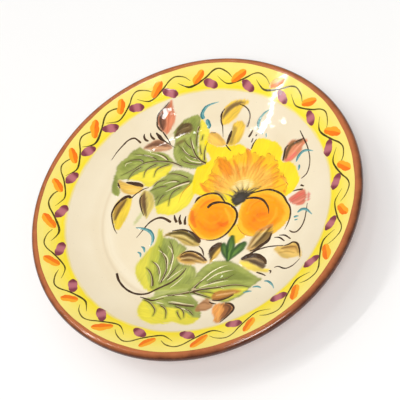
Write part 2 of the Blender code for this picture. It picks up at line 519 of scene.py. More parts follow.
def nearest(place, line, closed):
    """Distance from each point to a line, which side it lies on, and how far along it is."""
    ends = np.vstack((line[1:], line[:1])) if closed else line[1:]
    starts = line if closed else line[:-1]
    best = np.full(len(place), 1e9)
    side = np.zeros(len(place))
    along = np.zeros(len(place))
    for number, (start, end) in enumerate(zip(starts, ends)):
        step = (end - start)[:2]
        rest = place - start[:2]
        share = np.clip(rest @ step / max(step @ step, 1e-9), 0.0, 1.0)
        gap = rest - share[:, None] * step
        distance = np.hypot(gap[:, 0], gap[:, 1])
        closer = distance < best
        best[closer] = distance[closer]
        side[closer] = np.sign(step[0] * rest[:, 1] - step[1] * rest[:, 0])[closer]
        along[closer] = number + share[closer]
    return best, side, along


def hairs(along, across, seed):
    """The fine streaks a brush leaves, from -1 to 1, for places in millimetres."""
    across = across + 0.5 * np.sin(0.37 * along + seed) + 0.3 * np.sin(0.9 * along + 2.0 * seed)
    total = np.zeros(len(along))
    for number in range(1, 8):
        turn = 2.4 * number * number + seed * number
        total += np.sin((0.5 + 0.52 * number) * across + 0.3 * np.sin(turn) * along + turn)
    return total / 4.0


def wash(outline, colour, soft=0.8, strength=1.0, streaks=0.14, lean=0.0, pool=0.12):
    """A patch of thin colour inside an outline.  soft is how far its edge fades, lean the way
    the brush went in degrees, and pool how much the colour gathers at its edge."""
    line = smooth_line(outline, closed=True)
    where = near(line, 2.0 * soft)
    place = wet_points[where]
    distance, _, _ = nearest(place, line, True)
    crossings = np.zeros(len(place), dtype=int)
    for start, end in zip(line, np.vstack((line[1:], line[:1]))):
        level = (start[1] > place[:, 1]) != (end[1] > place[:, 1])
        rise = end[1] - start[1] if end[1] != start[1] else 1e-9
        meet = start[0] + (place[:, 1] - start[1]) * (end[0] - start[0]) / rise
        crossings += level & (place[:, 0] < meet)
    inside = np.where(crossings % 2 == 1, distance, -distance)
    turn = math.radians(lean)
    along = place[:, 0] * math.cos(turn) + place[:, 1] * math.sin(turn)
    across = place[:, 1] * math.cos(turn) - place[:, 0] * math.sin(turn)
    wave = hairs(along, across, len(outline) + outline[0][0])
    edge = np.clip((inside + (0.35 * soft + 0.22) * wave) / (2.0 * soft) + 0.5, 0.0, 1.0)
    edge = edge * edge * (3.0 - 2.0 * edge)
    gathered = pool * np.exp(-np.abs(inside - soft) / 1.2)
    cloud = 0.5 * np.sin(0.31 * along + 0.2 * across + lean) + 0.5 * np.sin(0.43 * across + soft)
    tone = np.asarray(colour)[None, :] * (1.0 - gathered + streaks * (wave + cloud))[:, None]
    blend_in(where, edge * strength, tone)


def brushed(points, left, right=None, soft=0.5, strength=1.0, streaks=0.15, tip=None):
    """One loaded brush stroke in thin colour: x, y and width along its line.  left and right
    are the colours on the two sides of the brush, and tip the colour that it ends in."""
    line = smooth_line(points)
    where = near(line, line[:, 2].max() / 2 + 2.0 * soft)
    place = wet_points[where]
    distance, side, along = nearest(place, line, False)
    half = np.interp(along, np.arange(len(line)), line[:, 2]) / 2
    offset = distance * side
    wave = hairs(along, offset, points[0][0] + points[0][1])
    edge = np.clip((half - distance + 0.3 * soft * wave) / (2.0 * soft) + 0.5, 0.0, 1.0)
    edge = edge * edge * (3.0 - 2.0 * edge)
    over = np.clip(0.5 - 0.5 * offset / np.maximum(half, 0.1), 0.0, 1.0)
    over = (over * over * (3.0 - 2.0 * over))[:, None]
    tone = np.asarray(left)[None, :] * (1.0 - over) + np.asarray(right or left)[None, :] * over
    if tip:
        reach = (along / (len(line) - 1))[:, None] ** 1.5
        tone = tone * (1.0 - reach) + np.asarray(tip)[None, :] * reach
    blend_in(where, edge * strength, tone * (1.0 + streaks * wave)[:, None])


# ---------------------------------------------------------------------------------------------
# The washes of colour in the cream face.
# Leaves first, then the buds between them, the big open flower, and its two round fruits.  Each
# is laid with a full soft brush: copper green, antimony yellow, iron brown and a salmon stain.

LEAF_GREEN = ink(116, 130, 48)
FRESH_GREEN = ink(164, 173, 80)
PALE_GREEN = ink(190, 204, 104)
LEMON = ink(248, 230, 44)
YELLOW = ink(255, 225, 2)
ORANGE = ink(244, 140, 30)
DEEP_ORANGE = ink(222, 112, 24)
PEACH = ink(253, 196, 84)
SALMON = ink(230, 132, 90)
BROWN = ink(112, 70, 50)
OCHRE = ink(232, 184, 66)
OLIVE = ink(128, 100, 52)

# The ring where the face turns up out of the well, in painted light and shade: a lighter band
# inside it, a darker band outside it, and a painted crease shadow along its left side.
well_ring = [(math.cos(math.radians(turn)), math.sin(math.radians(turn)))
             for turn in range(0, 361, 12)]
for radius, width, ring, colour, soft, strength, streaks in (
        (64.0, 5.0, well_ring, ink(249, 239, 216), 2.6, 0.36, 0.03),
        (73.5, 6.0, well_ring, ink(230, 212, 178), 3.0, 0.28, 0.03),
        (68.7, 1.7, well_ring[8:25], ink(214, 192, 156), 1.2, 0.42, 0.15)):
    brushed([(radius * x, radius * y, width) for x, y in ring], colour, None, soft, strength,
            streaks)

# The long leaf at the top.
wash([(-2.4, 38), (-3, 46), (-4, 56), (-4.5, 66), (-3, 74), (0, 70.6), (2.9, 65.3), (4, 61.2),
      (2.9, 54.7), (2, 48.8), (2.4, 42.9), (4, 38.2), (5.3, 34), (1, 34)], LEMON, 0.7, 0.92,
     streaks=0.06)
wash([(5.3, 33.2), (-0.6, 32.8), (-8.2, 33.6), (-14, 35.9), (-18.8, 40), (-21.2, 44),
      (-22.4, 48.8), (-22.6, 53.5), (-21.8, 56.5), (-22.9, 62.4), (-23.2, 65.3), (-21.2, 68.2),
      (-18.2, 71.8), (-13.5, 75.3), (-7.6, 76.8), (-5.6, 77.2), (-3.4, 74), (-4.4, 66),
      (-4.6, 58), (-4.2, 50), (-2.8, 43), (1.5, 37.5)], FRESH_GREEN, 0.6, 0.96, pool=0.26, lean=60)
wash([(-4, 36), (-11, 38.5), (-16, 44), (-19, 50), (-14.5, 53), (-9.5, 48), (-5, 42)],
     LEAF_GREEN, 2.0, 0.6, lean=45)
wash([(-7.6, 60), (-6.5, 70), (-7.6, 75), (-12, 73.5), (-9.5, 66)], LEAF_GREEN, 1.5, 0.55)
wash([(-22.4, 61.2), (-22, 65.3), (-20, 69.4), (-15.9, 71.8), (-11.2, 71.2), (-9, 67.6),
      (-10.6, 64), (-15.3, 62.4), (-19.4, 61.2)], ink(108, 80, 48), 1.2, 0.9, streaks=0.3, lean=60)
wash([(-21, 56), (-18, 58.6), (-14.5, 59.4), (-14, 57.4), (-17.5, 55.4), (-20.6, 54.4)],
     ink(120, 92, 50), 1.0, 0.75)

# The leaf that spreads to the left, green over yellow.
wash([(-21.8, 38.8), (-22.9, 34), (-24.7, 30.6), (-28.8, 28.2), (-32.4, 25.3), (-36.5, 21.8),
      (-40.6, 22.9), (-44.7, 27), (-50.6, 28.8), (-55, 30), (-49.4, 34.5), (-41.8, 37),
      (-33.5, 38.5), (-26.5, 39.5)], LEMON, 0.7, 0.94, streaks=0.06)
wash([(-21.2, 40), (-23.5, 44), (-27, 47.6), (-31.8, 50), (-37, 51.2), (-43.5, 52.4),
      (-47.6, 55.3), (-49.7, 54), (-53.5, 51.8), (-56.5, 47.6), (-61.2, 43.5), (-63.5, 39.4),
      (-63.8, 35.3), (-65, 30), (-65.6, 24), (-65.3, 20.6), (-63.5, 18.2), (-60.3, 16.5),
      (-59, 20), (-60.6, 25.3), (-61.2, 29.4), (-54.7, 29.9), (-50, 32.8), (-44.7, 35),
      (-38.2, 36.8), (-32.4, 38), (-26.5, 38.6)], FRESH_GREEN, 0.6, 0.95, pool=0.26, lean=150)
wash([(-27, 43), (-34, 43.6), (-42, 43), (-50, 41), (-58, 36), (-61, 39), (-56, 45), (-48, 49),
      (-38, 49), (-31, 47.6)], LEAF_GREEN, 2.2, 0.6, lean=160)
wash([(-64.6, 33), (-62, 31), (-62, 25), (-60, 19), (-62.4, 18), (-64.8, 22)],
     LEAF_GREEN, 1.0, 0.55)

# The leaf below it, and the pale smear beside its foot.
wash([(-4.7, 24.7), (-3.5, 14), (-4.7, 9.4), (-6.5, 4.7), (-11.2, 1.2), (-18, -2.4), (-26.5, -1),
      (-29.4, 0), (-31, 6), (-27, 12), (-20, 15), (-12, 20)], LEMON, 0.7, 0.94, streaks=0.06,
     lean=50)
wash([(-4.7, 27), (-7.6, 29.4), (-10, 31.2), (-15.3, 32.9), (-21.2, 33.5), (-24.7, 31.2),
      (-26.5, 29.4), (-31.8, 25.9), (-33.5, 22.9), (-36.8, 18.2), (-34.7, 15.9), (-32.4, 11.2),
      (-31.2, 5.9), (-27, 7.5), (-21, 10), (-14, 14.5), (-7, 21)], FRESH_GREEN, 0.6, 0.92,
     pool=0.26, lean=25)
wash([(-9, 25), (-16, 27), (-24, 27), (-31, 22.5), (-34.4, 18), (-30, 12), (-24, 13.5),
      (-15, 18.5)], LEAF_GREEN, 2.0, 0.5, lean=20)
wash([(-45, -7.6), (-41.5, -4), (-39, 2), (-40.4, 3.4), (-43, -0.6), (-45.4, -5)],
     PALE_GREEN, 1.0, 0.55)

# The lower left leaf, yellow outside and green towards the middle.
wash([(-26.5, -12.4), (-27, -17.6), (-28.2, -23.5), (-32.9, -28.2), (-36.5, -33.5),
      (-40, -38.8), (-40.3, -43.5), (-38.2, -48.8), (-34.7, -54), (-30.6, -58.2), (-27, -60),
      (-22, -58.4), (-19, -50), (-20, -40), (-22, -30), (-22.8, -19)], ink(224, 214, 58),
     1.0, 0.95, streaks=0.06, lean=75)
wash([(-24.6, -14.5), (-24.8, -22), (-27, -30), (-28, -40), (-27.6, -50), (-26, -58.4),
      (-22, -58.6), (-1.2, -58.8), (2.4, -51.8), (2.9, -47), (1.2, -42.9), (-4, -41.2),
      (-8.8, -40), (-10, -35.3), (-4.9, -30.4), (-6.4, -27.6), (-10.6, -24.7), (-15.3, -20.9),
      (-22.2, -19.4)], FRESH_GREEN, 0.9, 0.94, streaks=0.2, pool=0.26, lean=70)
brushed([(-24.4, -14, 1.2), (-25, -22, 3.6), (-27.4, -31, 5.4), (-28.4, -41, 6), (-27.6, -50, 4.6),
         (-25.6, -57.6, 2)], ink(208, 208, 66), ink(172, 180, 72), 1.6, 0.75, streaks=0.2)
wash([(-12, -42), (-15, -34), (-19, -26), (-22.4, -21), (-24, -30), (-22.6, -42), (-20, -54),
      (-13, -50)], LEAF_GREEN, 2.0, 0.55, lean=72)
wash([(-17, -55), (-10, -53), (-2, -48.5), (0.4, -51.5), (-2.4, -56.6), (-12, -57.6)],
     LEAF_GREEN, 1.6, 0.5, lean=20)
wash([(-23.6, -57), (-18.9, -56), (-12, -55.4), (-4, -55.6), (1.6, -58), (-1.6, -61.8),
      (-8, -62.4), (-13.4, -63), (-19.4, -63.8), (-24, -63.4)], FRESH_GREEN, 1.0, 0.86, streaks=0.2,
     lean=8)

# The lower right leaf and the one at the bottom.
wash([(-1.2, -61.2), (0, -55.9), (3.5, -48.8), (7.6, -44), (12.4, -41.2), (18.2, -40),
      (24.7, -40.6), (29.4, -42.4), (34.7, -45.9), (40, -50), (44.7, -54), (48.2, -56.5),
      (44.7, -59.4), (40.6, -62.4), (37.6, -66.5), (32.9, -68.8), (25.9, -71.5), (16, -68.6),
      (5.9, -64.7)], FRESH_GREEN, 0.6, 0.95, pool=0.26, lean=-10)
wash([(14, -44.5), (24, -43.6), (33, -48), (42, -55.4), (36, -57), (25, -56), (14, -56),
      (7.4, -52.5)], LEAF_GREEN, 2.2, 0.65, lean=-20)
wash([(4, -60.8), (14, -61), (24, -61), (34, -61), (39, -62.4), (35, -66), (26, -69.6),
      (15, -66.8)], ink(232, 224, 72), 1.2, 0.88, lean=-8)
wash([(-25.9, -64), (-18.8, -62.4), (-10, -61.2), (-1.2, -62.4), (2.4, -65.3), (6.5, -69.4),
      (7.6, -72.4), (10.6, -81.2), (6.5, -82.9), (2.4, -81.8), (-1.2, -76.5), (-8.2, -73.5),
      (-15.3, -72.4), (-23.5, -69.4), (-31.8, -65.9)], FRESH_GREEN, 0.6, 0.94, pool=0.26, lean=-25)
wash([(-31.2, -66.5), (-33.5, -71.8), (-32.4, -77.6), (-28.2, -82.4), (-20, -85.9),
      (-11.8, -85.3), (-7, -84.7), (1.8, -87.6), (7, -86), (9.4, -82.6), (4, -81), (-1.2, -76),
      (-8.2, -73), (-15.3, -71.8), (-23.5, -68.8)], ink(238, 224, 46), 1.0, 0.94, streaks=0.07,
     lean=-20)
wash([(-18, -65.6), (-8, -65), (0, -66.6), (4, -71), (5, -78), (1, -77), (-4, -72.4),
      (-12, -70)], LEAF_GREEN, 1.8, 0.55, lean=-20)

# Along every vein the green is darker, where the brush went over it again.
VEINS = [
    [(2.9, 36.5, 1.6), (-.6, 38.8, 1.2), (-4.7, 43.5, 1.0), (-7.6, 49.4, .9), (-9.4, 54.7, .8),
     (-10.6, 60, .4)],
    [(2.9, 36.5, 1), (-2.4, 36.5, .8), (-8.2, 37.6, .8), (-13.5, 40, .7), (-16.2, 42.9, .3)],
    [(-2.9, 41.2, .9), (-8.2, 43.5, .8), (-14, 48.2, .7), (-19.4, 54.7, .3)],
    [(-9.4, 50.9, .8), (-12.4, 54, .7), (-15, 58.2, .3)],
    [(-5.3, 52.4, .4), (-5.9, 58.2, .7), (-5.6, 64, .9), (-4.4, 68.2, 1.4)],
    [(-1.2, 44.7, .7), (-2.4, 49.4, .6), (-2.6, 52.4, .3)],
    [(-1.8, 57, .7), (-1.2, 60.6, .4)],
    [(1.5, 39.4, .9), (.9, 45.3, .7), (1.5, 50, .6), (2.6, 54.7, .3)],
    [(-14.7, 36.2, .8), (-18.2, 38.2, 1), (-21.8, 40, 1), (-25.3, 41.2, 1), (-31.2, 42.4, 1),
     (-36.5, 42.9, .9), (-41.8, 42.4, .9), (-45.3, 41.2, .8), (-49.4, 38.5, .7),
     (-54, 35.9, .6), (-60, 32.9, .3)],
    [(-25.6, 42.6, .9), (-28.8, 46.2, .8), (-33.5, 49, .4)],
    [(-34, 44, .9), (-38.2, 46.5, .8), (-42.4, 48.2, .7), (-51.2, 50, .3)],
    [(-44, 43.2, .9), (-46.5, 45, .8), (-50, 45.3, .7), (-54, 44.7, .5), (-58.5, 42.4, .3)],
    [(-45.3, 38.8, .9), (-49.4, 36.5, .8), (-52.4, 33.5, .6), (-54.4, 29.4, .3)],
    [(-34, 40.3, .9), (-38.8, 38.2, .8), (-42, 34.7, .7), (-42.6, 30.6, .3)],
    [(-24.7, 38.8, .9), (-29.4, 37.6, .8), (-33.5, 35.3, .7), (-35, 30, .3)],
    [(-7.6, 23.2, 1.6), (-12.4, 22.4, 1.1), (-17, 20.9, .9), (-23.5, 18.2, .5)],
    [(-9.4, 26.2, .9), (-14.7, 29, .8), (-19.4, 30.6, .7), (-24.7, 31.2, .3)],
    [(-15.3, 23.5, .8), (-18.8, 25, .7), (-22.9, 25.6, .3)],
    [(-34, 22.4, .7), (-31.8, 25, .8), (-28.8, 25.9, .7), (-25, 26.5, .3)],
    [(-24.7, 21.2, .8), (-30, 20.9, .7), (-36.5, 18.5, .3)],
    [(-25.6, 14.4, .8), (-28.2, 11.2, .7), (-30, 6.5, .3)],
    [(-14, 18.8, .8), (-18.2, 16.5, .7), (-20.9, 12.4, .6), (-21.5, 5.3, .3)],
    [(-30, 13.5, .5), (-31.8, 11.2, .4)],
    [(-26.5, -55.6, 1.7), (-26.8, -51.8, 1.1), (-27.9, -47.6, .9), (-30, -44, .8),
     (-32.4, -41.5, .3)],
    [(-22.6, -47, .9), (-23.5, -42.9, .8), (-25.9, -39.4, .7), (-29, -36.8, .3)],
    [(-21.2, -53.5, 1.1), (-19, -48.2, 1), (-17.9, -42.9, .9), (-18.8, -37.6, .9),
     (-20.6, -33.5, .8), (-25, -26.2, .3)],
    [(-15.6, -40, .8), (-14.7, -35.3, .8), (-14.7, -30.6, .7), (-15.9, -26.5, .6),
     (-17.9, -22.6, .3)],
    [(-16.8, -50.6, 1), (-14, -46.5, .8), (-9.4, -40.6, .3)],
    [(1.4, -61.4, 2.8), (3.0, -60.6, 3.4), (4.6, -60.5, 1.6)],
    [(0, -61.8, 1.2), (5.9, -60.3, 1.3), (11.8, -59.7, 1.1), (18.2, -59.4, 1), (23.5, -58.8, .9),
     (29.4, -58.5, .8), (34.7, -59.4, .7), (40.6, -61.5, .3)],
    [(3.5, -62.4, 1.2), (8.8, -64.4, .9), (14.7, -67, .4)],
    [(7, -61.8, .6), (12.4, -62.4, .6), (17.6, -64, .3)],
    [(2.4, -58.8, 1.2), (5.9, -55.3, .9), (8.8, -52.9, .4)],
    [(11.8, -56.8, .7), (16.5, -54.7, .6), (23.5, -53.5, .6), (29.4, -50.6, .3)],
    [(-15.3, -63.2, .8), (-8.8, -62.9, .9), (-2.9, -62, 1.1), (0, -61.5, 1.6)],
    [(-12.9, -69.4, .6), (-8.2, -70, 1.1), (-2.4, -71.2, 1.5), (4.7, -72.4, 1.5)],
    [(-30.6, -65.9, .5), (-27, -67.6, .8), (-23.5, -71.2, .8), (-21.5, -74.7, .7),
     (-22, -79, .3)],
    [(-18.8, -70.6, .9), (-15.9, -72.4, .8), (-13.8, -75.9, .7), (-13.2, -81.2, .3)],
    [(-8.2, -71.8, .9), (-4.7, -73.5, .8), (-2, -76.5, .7), (-.9, -81.2, .3)],
    [(-6.5, -75.9, .7), (-4.7, -79.4, .6), (-2.6, -82.4, .3)],
    [(-1.2, -74.5, .8), (2.4, -76.5, .8), (5.3, -80, .4)]]
for vein in VEINS:
    broad = [(x, y, 1.5 * width + 1.1) for x, y, width in vein]
    brushed(broad, ink(88, 96, 36), ink(120, 132, 50), 0.7, 0.6, streaks=0.25, tip=LEAF_GREEN)
    if len(vein) > 3:
        run = Vector((vein[-1][0] - vein[0][0], vein[-1][1] - vein[0][1])).normalized()
        for gap, strength in ((2.6, 0.5), (-2.3, 0.3)):
            beside = [(x - gap * run.y, y + gap * run.x, 1.6) for x, y, _ in vein[1:-1]]
            beside[0] = (*beside[0][:2], 0.5)
            beside[-1] = (*beside[-1][:2], 0.4)
            brushed(beside, PALE_GREEN, FRESH_GREEN, 0.9, strength, streaks=0.3)

# The buds at the top.
wash([(-24.7, 88.4), (-29.4, 84), (-34, 80), (-35.4, 75.3), (-34.4, 70.6), (-31.5, 66.5),
      (-28.2, 64.4), (-24.7, 68.8), (-22.5, 74), (-22.4, 79.4), (-23.8, 84.7)], SALMON, 0.8, 0.92,
     lean=80)
wash([(-26.5, 86.6), (-33.6, 79.8), (-35, 75.3), (-34, 70.6), (-31.2, 67), (-29.4, 72),
      (-29.6, 78), (-27.4, 83)], BROWN, 1.3, 0.9, lean=70)
wash([(12.4, 67.6), (15.3, 66.8), (20.6, 69.4), (25.3, 73.5), (28.2, 77.4), (32.4, 79.4),
      (32.6, 81.5), (29.4, 82.6), (23.5, 83.5), (18.8, 82.4), (14.7, 79.4), (12.6, 75.3),
      (11.8, 71.2)], ink(252, 206, 56), 0.8, 0.95, lean=45)
wash([(13, 71.6), (16.4, 75), (20.4, 78), (25.6, 79.2), (30, 80.6), (25, 82.4), (19, 81.4),
      (14.9, 78.4)], ink(150, 116, 78), 1.1, 0.8, lean=35)
wash([(20.6, 66.5), (23.5, 68.2), (27.6, 67.9), (29.7, 64.7), (29.4, 60.6), (27.6, 55.3),
      (25.3, 51.2), (20.6, 49.4), (17.6, 50), (18.2, 54.7), (20, 61.2)], ink(250, 204, 58), 0.8,
     0.95, lean=70)
wash([(20.8, 65), (23.6, 63), (22.6, 57), (20.6, 51.4), (18.4, 52), (19.4, 58)],
     ink(142, 118, 64), 1.3, 0.7, lean=70)

# The buds along the left.
wash([(-45.3, 54.7), (-40, 58.2), (-36.5, 60.3), (-32.4, 60), (-27.6, 57), (-24, 54.7),
      (-24.4, 51.8), (-28.8, 50.8), (-34.7, 50.8), (-40.6, 52.6)], ink(210, 150, 108), 0.7, 0.94)
wash([(-44, 55), (-36.6, 59.6), (-32.4, 59.6), (-27.6, 56.6), (-25, 54.6), (-31, 54.6),
      (-38, 55)], ink(136, 92, 66), 1.0, 0.88, lean=170)
wash([(-61.2, 29.4), (-55.9, 27.6), (-50, 26.5), (-42.9, 24.7), (-41.8, 21.8), (-44.7, 17.6),
      (-50, 16.5), (-55.9, 18.8), (-60, 22.9)], OCHRE, 0.8, 0.94, lean=170)
wash([(-56, 21), (-50, 18.4), (-45, 19), (-45, 21.4), (-51, 21.6)], ink(250, 218, 120), 1.2, 0.6)
wash([(-51.8, 16.4), (-49.4, 14), (-49.5, 8), (-51, 0), (-53, -5), (-56, -10.5), (-59.5, -9),
      (-61.5, -3), (-62.5, 4), (-61.5, 10), (-58, 14.5)], ink(250, 214, 44), 0.8, 0.95, lean=75)
wash([(-53, 15), (-54, 9), (-57, 3), (-60, -3), (-61.6, -1), (-62.2, 5), (-60.6, 10.4),
      (-57.2, 14.2)], ink(150, 108, 58), 1.4, 0.85, lean=70)
wash([(-40.6, 19.4), (-36.5, 17.6), (-32.9, 11.8), (-32.4, 5.9), (-34.7, 0), (-36.5, -3.5),
      (-38.2, -1.8), (-40.6, 2.9), (-42.9, 8.8), (-43.5, 14), (-42.4, 17.6)],
     ink(218, 194, 92), 0.8, 0.92, lean=78)
wash([(-40.4, 18.6), (-38.4, 12), (-37.6, 4), (-37.6, -1.4), (-40.2, 3), (-42.6, 9), (-43, 14),
      (-42, 17.2)], BROWN, 1.2, 0.85, lean=75)

# The buds on the right.
wash([(58.2, 32.4), (58.8, 37), (60, 41.8), (62.4, 45), (65.3, 46.2), (69.4, 45), (72.9, 45),
      (75.6, 42.4), (72.4, 40), (71.2, 37), (67.6, 33.5), (63.5, 30.6), (60, 30.6)],
     ink(228, 134, 92), 0.8, 0.95, lean=40)
wash([(58.8, 33), (59.6, 39), (62.4, 43.6), (66, 45.4), (72.4, 44.4), (70.4, 42.4), (65.4, 42),
      (62.2, 38.6), (60.6, 33.6)], ink(140, 104, 58), 1.2, 0.85, lean=45)
wash([(62.9, 1.8), (66.5, 4.7), (72.9, 7.6), (75.3, 3.5), (74.7, -2.4), (72.4, -4.4),
      (68.8, -3.5), (65.3, -1.8)], ink(226, 118, 92), 0.8, 0.95, lean=30)
wash([(76.4, 4.4), (78, 2.6), (77.4, -2), (76, -1)], ink(232, 120, 112), 0.7, 0.85)
wash([(31.8, -41.2), (38, -42), (42.4, -45), (48.2, -48.4), (52.4, -49.4), (51.8, -51.8),
      (45.9, -50.8), (40, -49), (34.7, -45.5)], ink(248, 216, 70), 0.8, 0.92, lean=-20)
wash([(32.9, -40.3), (36.5, -38.5), (41.2, -38), (45.9, -39.5), (49, -42.2), (50.3, -45.9),
      (48.2, -48.5), (43.5, -45.6), (38.2, -42.4)], ink(96, 68, 40), 0.7, 0.95, lean=-25)
wash([(54.7, -35.3), (55.9, -33.2), (61.2, -32.9), (64.7, -32.9), (68.2, -31.2), (71.2, -32.9),
      (72.9, -37.6), (74.4, -42.4), (73.8, -45.9), (71.8, -43.5), (67.6, -43.8), (62.4, -43.2),
      (59.4, -40.6), (57, -37.6)], ink(238, 196, 96), 0.8, 0.94, lean=-30)
wash([(60, -34.4), (66, -33.6), (70.6, -35), (71.6, -40.4), (68.6, -38), (63.4, -36.6)],
     ink(196, 140, 66), 1.2, 0.7, lean=-30)

# The buds and sepals under the fruits.
wash([(10.6, -32.9), (12.4, -30), (15.9, -27.6), (18.8, -27), (19.6, -30), (18.8, -34),
      (15.9, -38.2), (11.8, -41.2), (12, -36.5)], OCHRE, 0.7, 0.92, lean=50)
wash([(10.4, -32.9), (12.4, -29.8), (15.9, -27.2), (18.8, -26.8), (19.4, -29.2), (16.5, -31.8),
      (14, -35.3), (12.4, -39.4)], ink(70, 52, 34), 0.6, 0.95, lean=50)
wash([(-22.9, -19), (-20, -16.5), (-15.3, -15), (-10, -14.7), (-5.3, -16.2), (-1.2, -18.5),
      (2.4, -22.4), (4, -25.9), (2.4, -28.2), (-1.2, -27.9), (-5.9, -27), (-10, -24),
      (-14, -20.6), (-18.8, -18.8)], ink(200, 168, 78), 0.8, 0.94, lean=-25)
wash([(-21.6, -18.4), (-16, -15.6), (-10, -15.2), (-4.8, -17.4), (0, -20.8), (2.6, -25.4),
      (-2.4, -22.4), (-8, -19), (-15, -17.8)], ink(98, 80, 34), 1.0, 0.92, lean=-20)
wash([(-10.8, -34.7), (-7, -31.8), (-2.9, -31.3), (1.8, -32.7), (5.9, -35.7), (10, -39.8),
      (8.2, -41.8), (3.5, -40.8), (-2.4, -41.1), (-7, -40.2), (-10.2, -37.6)],
     ink(226, 176, 78), 0.8, 0.94, lean=-15)
wash([(-9, -34.8), (-5.6, -32.8), (-1, -33), (4, -35.8), (8, -39.4), (2.6, -38.6), (-3.4, -38.4),
      (-7.6, -37.4)], ink(128, 88, 42), 1.0, 0.92, lean=-15)
wash([(5.9, -73.5), (8.8, -69.4), (12.4, -67.4), (15.9, -70), (17.4, -72.9), (15.3, -75.9),
      (10.6, -77), (6.5, -77)], ink(182, 126, 76), 0.8, 0.93)
wash([(15.3, -65.3), (19.4, -61.8), (24.7, -61.8), (30.6, -62.4), (35.3, -63.8), (31.8, -65.3),
      (27, -67.6), (21.8, -69.4), (17, -69.4)], ink(196, 124, 58), 0.8, 0.92, lean=-5)
wash([(17.6, -73.5), (20, -72), (24.7, -71.8), (28.8, -72.4), (31.8, -75.9), (31.8, -78.8),
      (29.4, -82.4), (25.9, -85.3), (24, -88), (21.2, -87.4), (19.4, -82.9), (17.4, -77.6)],
     ink(240, 156, 66), 0.8, 0.94, lean=70)
wash([(23.4, -72.6), (28.6, -73), (31.2, -76), (31.2, -78.8), (28.6, -82.6), (24.6, -86),
      (24.4, -81), (25.6, -77)], ink(142, 84, 48), 1.2, 0.88, lean=65)

# The big flower: a yellow fan with orange teeth, and orange drawn down into it.
wash([(-3.5, 33.5), (-5.3, 25.3), (-5.3, 20.6), (-4.7, 14), (0.6, 11), (10, 8), (20, 4),
      (26, 0), (34, 4), (44, 8), (54, 7), (60.6, 4.6), (62.6, 5.3), (66.5, 8.2), (69.4, 12.9),
      (69.7, 18.2), (68.2, 23.5), (65.9, 28.2), (62.4, 30.6), (58.2, 31.2), (57, 33.5),
      (57.6, 38.2), (56.5, 42.9), (52.9, 47.6), (50, 48.8), (44.7, 51.8), (38.8, 52.4),
      (36.5, 49.4), (34.8, 44.9), (33.5, 43.2), (31.8, 45.3), (28.8, 48.8), (25.3, 50),
      (20.6, 49.4), (16.5, 49.4), (11.8, 49.4), (5.9, 52.4), (0.6, 56.4), (2, 48), (5.9, 40),
      (1.4, 36)], YELLOW, 0.6, 0.97, streaks=0.05, lean=70, pool=0.04)
wash([(3.5, 61.8), (8.2, 61.8), (11.8, 58.8), (14.7, 54.7), (16.3, 50.6), (11.8, 49.8),
      (7, 51.6), (2.9, 55)], ink(250, 196, 72), 0.7, 0.92, lean=130)
wash([(3.8, 61.4), (8.2, 61.4), (11.8, 58.4), (14.4, 54.4), (11, 55.6), (7, 58.6)],
     ink(190, 140, 70), 1.0, 0.5, lean=130)


def frilled(points, depth):
    """A line with a wavy frill along it, as the edge of a petal has."""
    line = smooth_line(points, pieces=10)
    slope = np.gradient(line, axis=0)
    size = np.hypot(slope[:, 0], slope[:, 1])
    way = np.cumsum(size)
    wave = np.sin(1.5 * way + 1.2 * np.sin(0.31 * way)) + 0.6 * np.sin(0.63 * way + 2.0)
    wave = wave * depth * np.clip(np.minimum(way, way[-1] - way) / 4.0, 0.0, 1.0)
    return [(x - dy / s * w, y + dx / s * w)
            for (x, y), (dx, dy), s, w in zip(line, slope, size, wave)]


FAN_EDGE = frilled([(0, 20.8), (3.5, 21.8), (6.5, 26.5), (8.4, 33.6), (10.6, 40.6), (15.3, 40),
                    (19.4, 37.6), (23, 40.4), (26.5, 42.4), (29, 41), (32.4, 44), (35.6, 42.4),
                    (38.2, 41), (40.4, 38.6), (44.7, 38), (48.2, 39), (51.8, 35.9), (53.9, 31.4),
                    (54.6, 27), (57.6, 22.6), (60, 18.6), (61.2, 14.7), (60.6, 6.5)], 0.62)
wash(FAN_EDGE[::3] + [(50, 9), (40, 12), (30, 14), (20, 12), (12, 13.4), (4.7, 14)],
     ink(255, 190, 34), 0.9, 0.78, streaks=0.1, lean=80)
wash([(10, 20), (15, 27), (22, 31.5), (30, 33), (38, 31.5), (45, 27.5), (50.6, 21), (50, 13),
      (40, 12), (30, 13), (20, 12), (12, 14)], ink(252, 200, 98), 3.6, 0.7, streaks=0.14, lean=90)
wash([(11.2, 39.6), (17.6, 38.2), (20.6, 33.5), (22.9, 28.2), (23.5, 25.3), (19.4, 24.7),
      (15.9, 28.2), (12.9, 32.4)], ink(244, 142, 16), 1.2, 0.9, streaks=0.16, lean=115)
brushed([(0.4, 20.4, 1.2), (2.4, 17.8, 2.4), (4.8, 14.6, 2.6), (7.6, 13, 1.2)], ORANGE, None,
        0.6, 0.9)
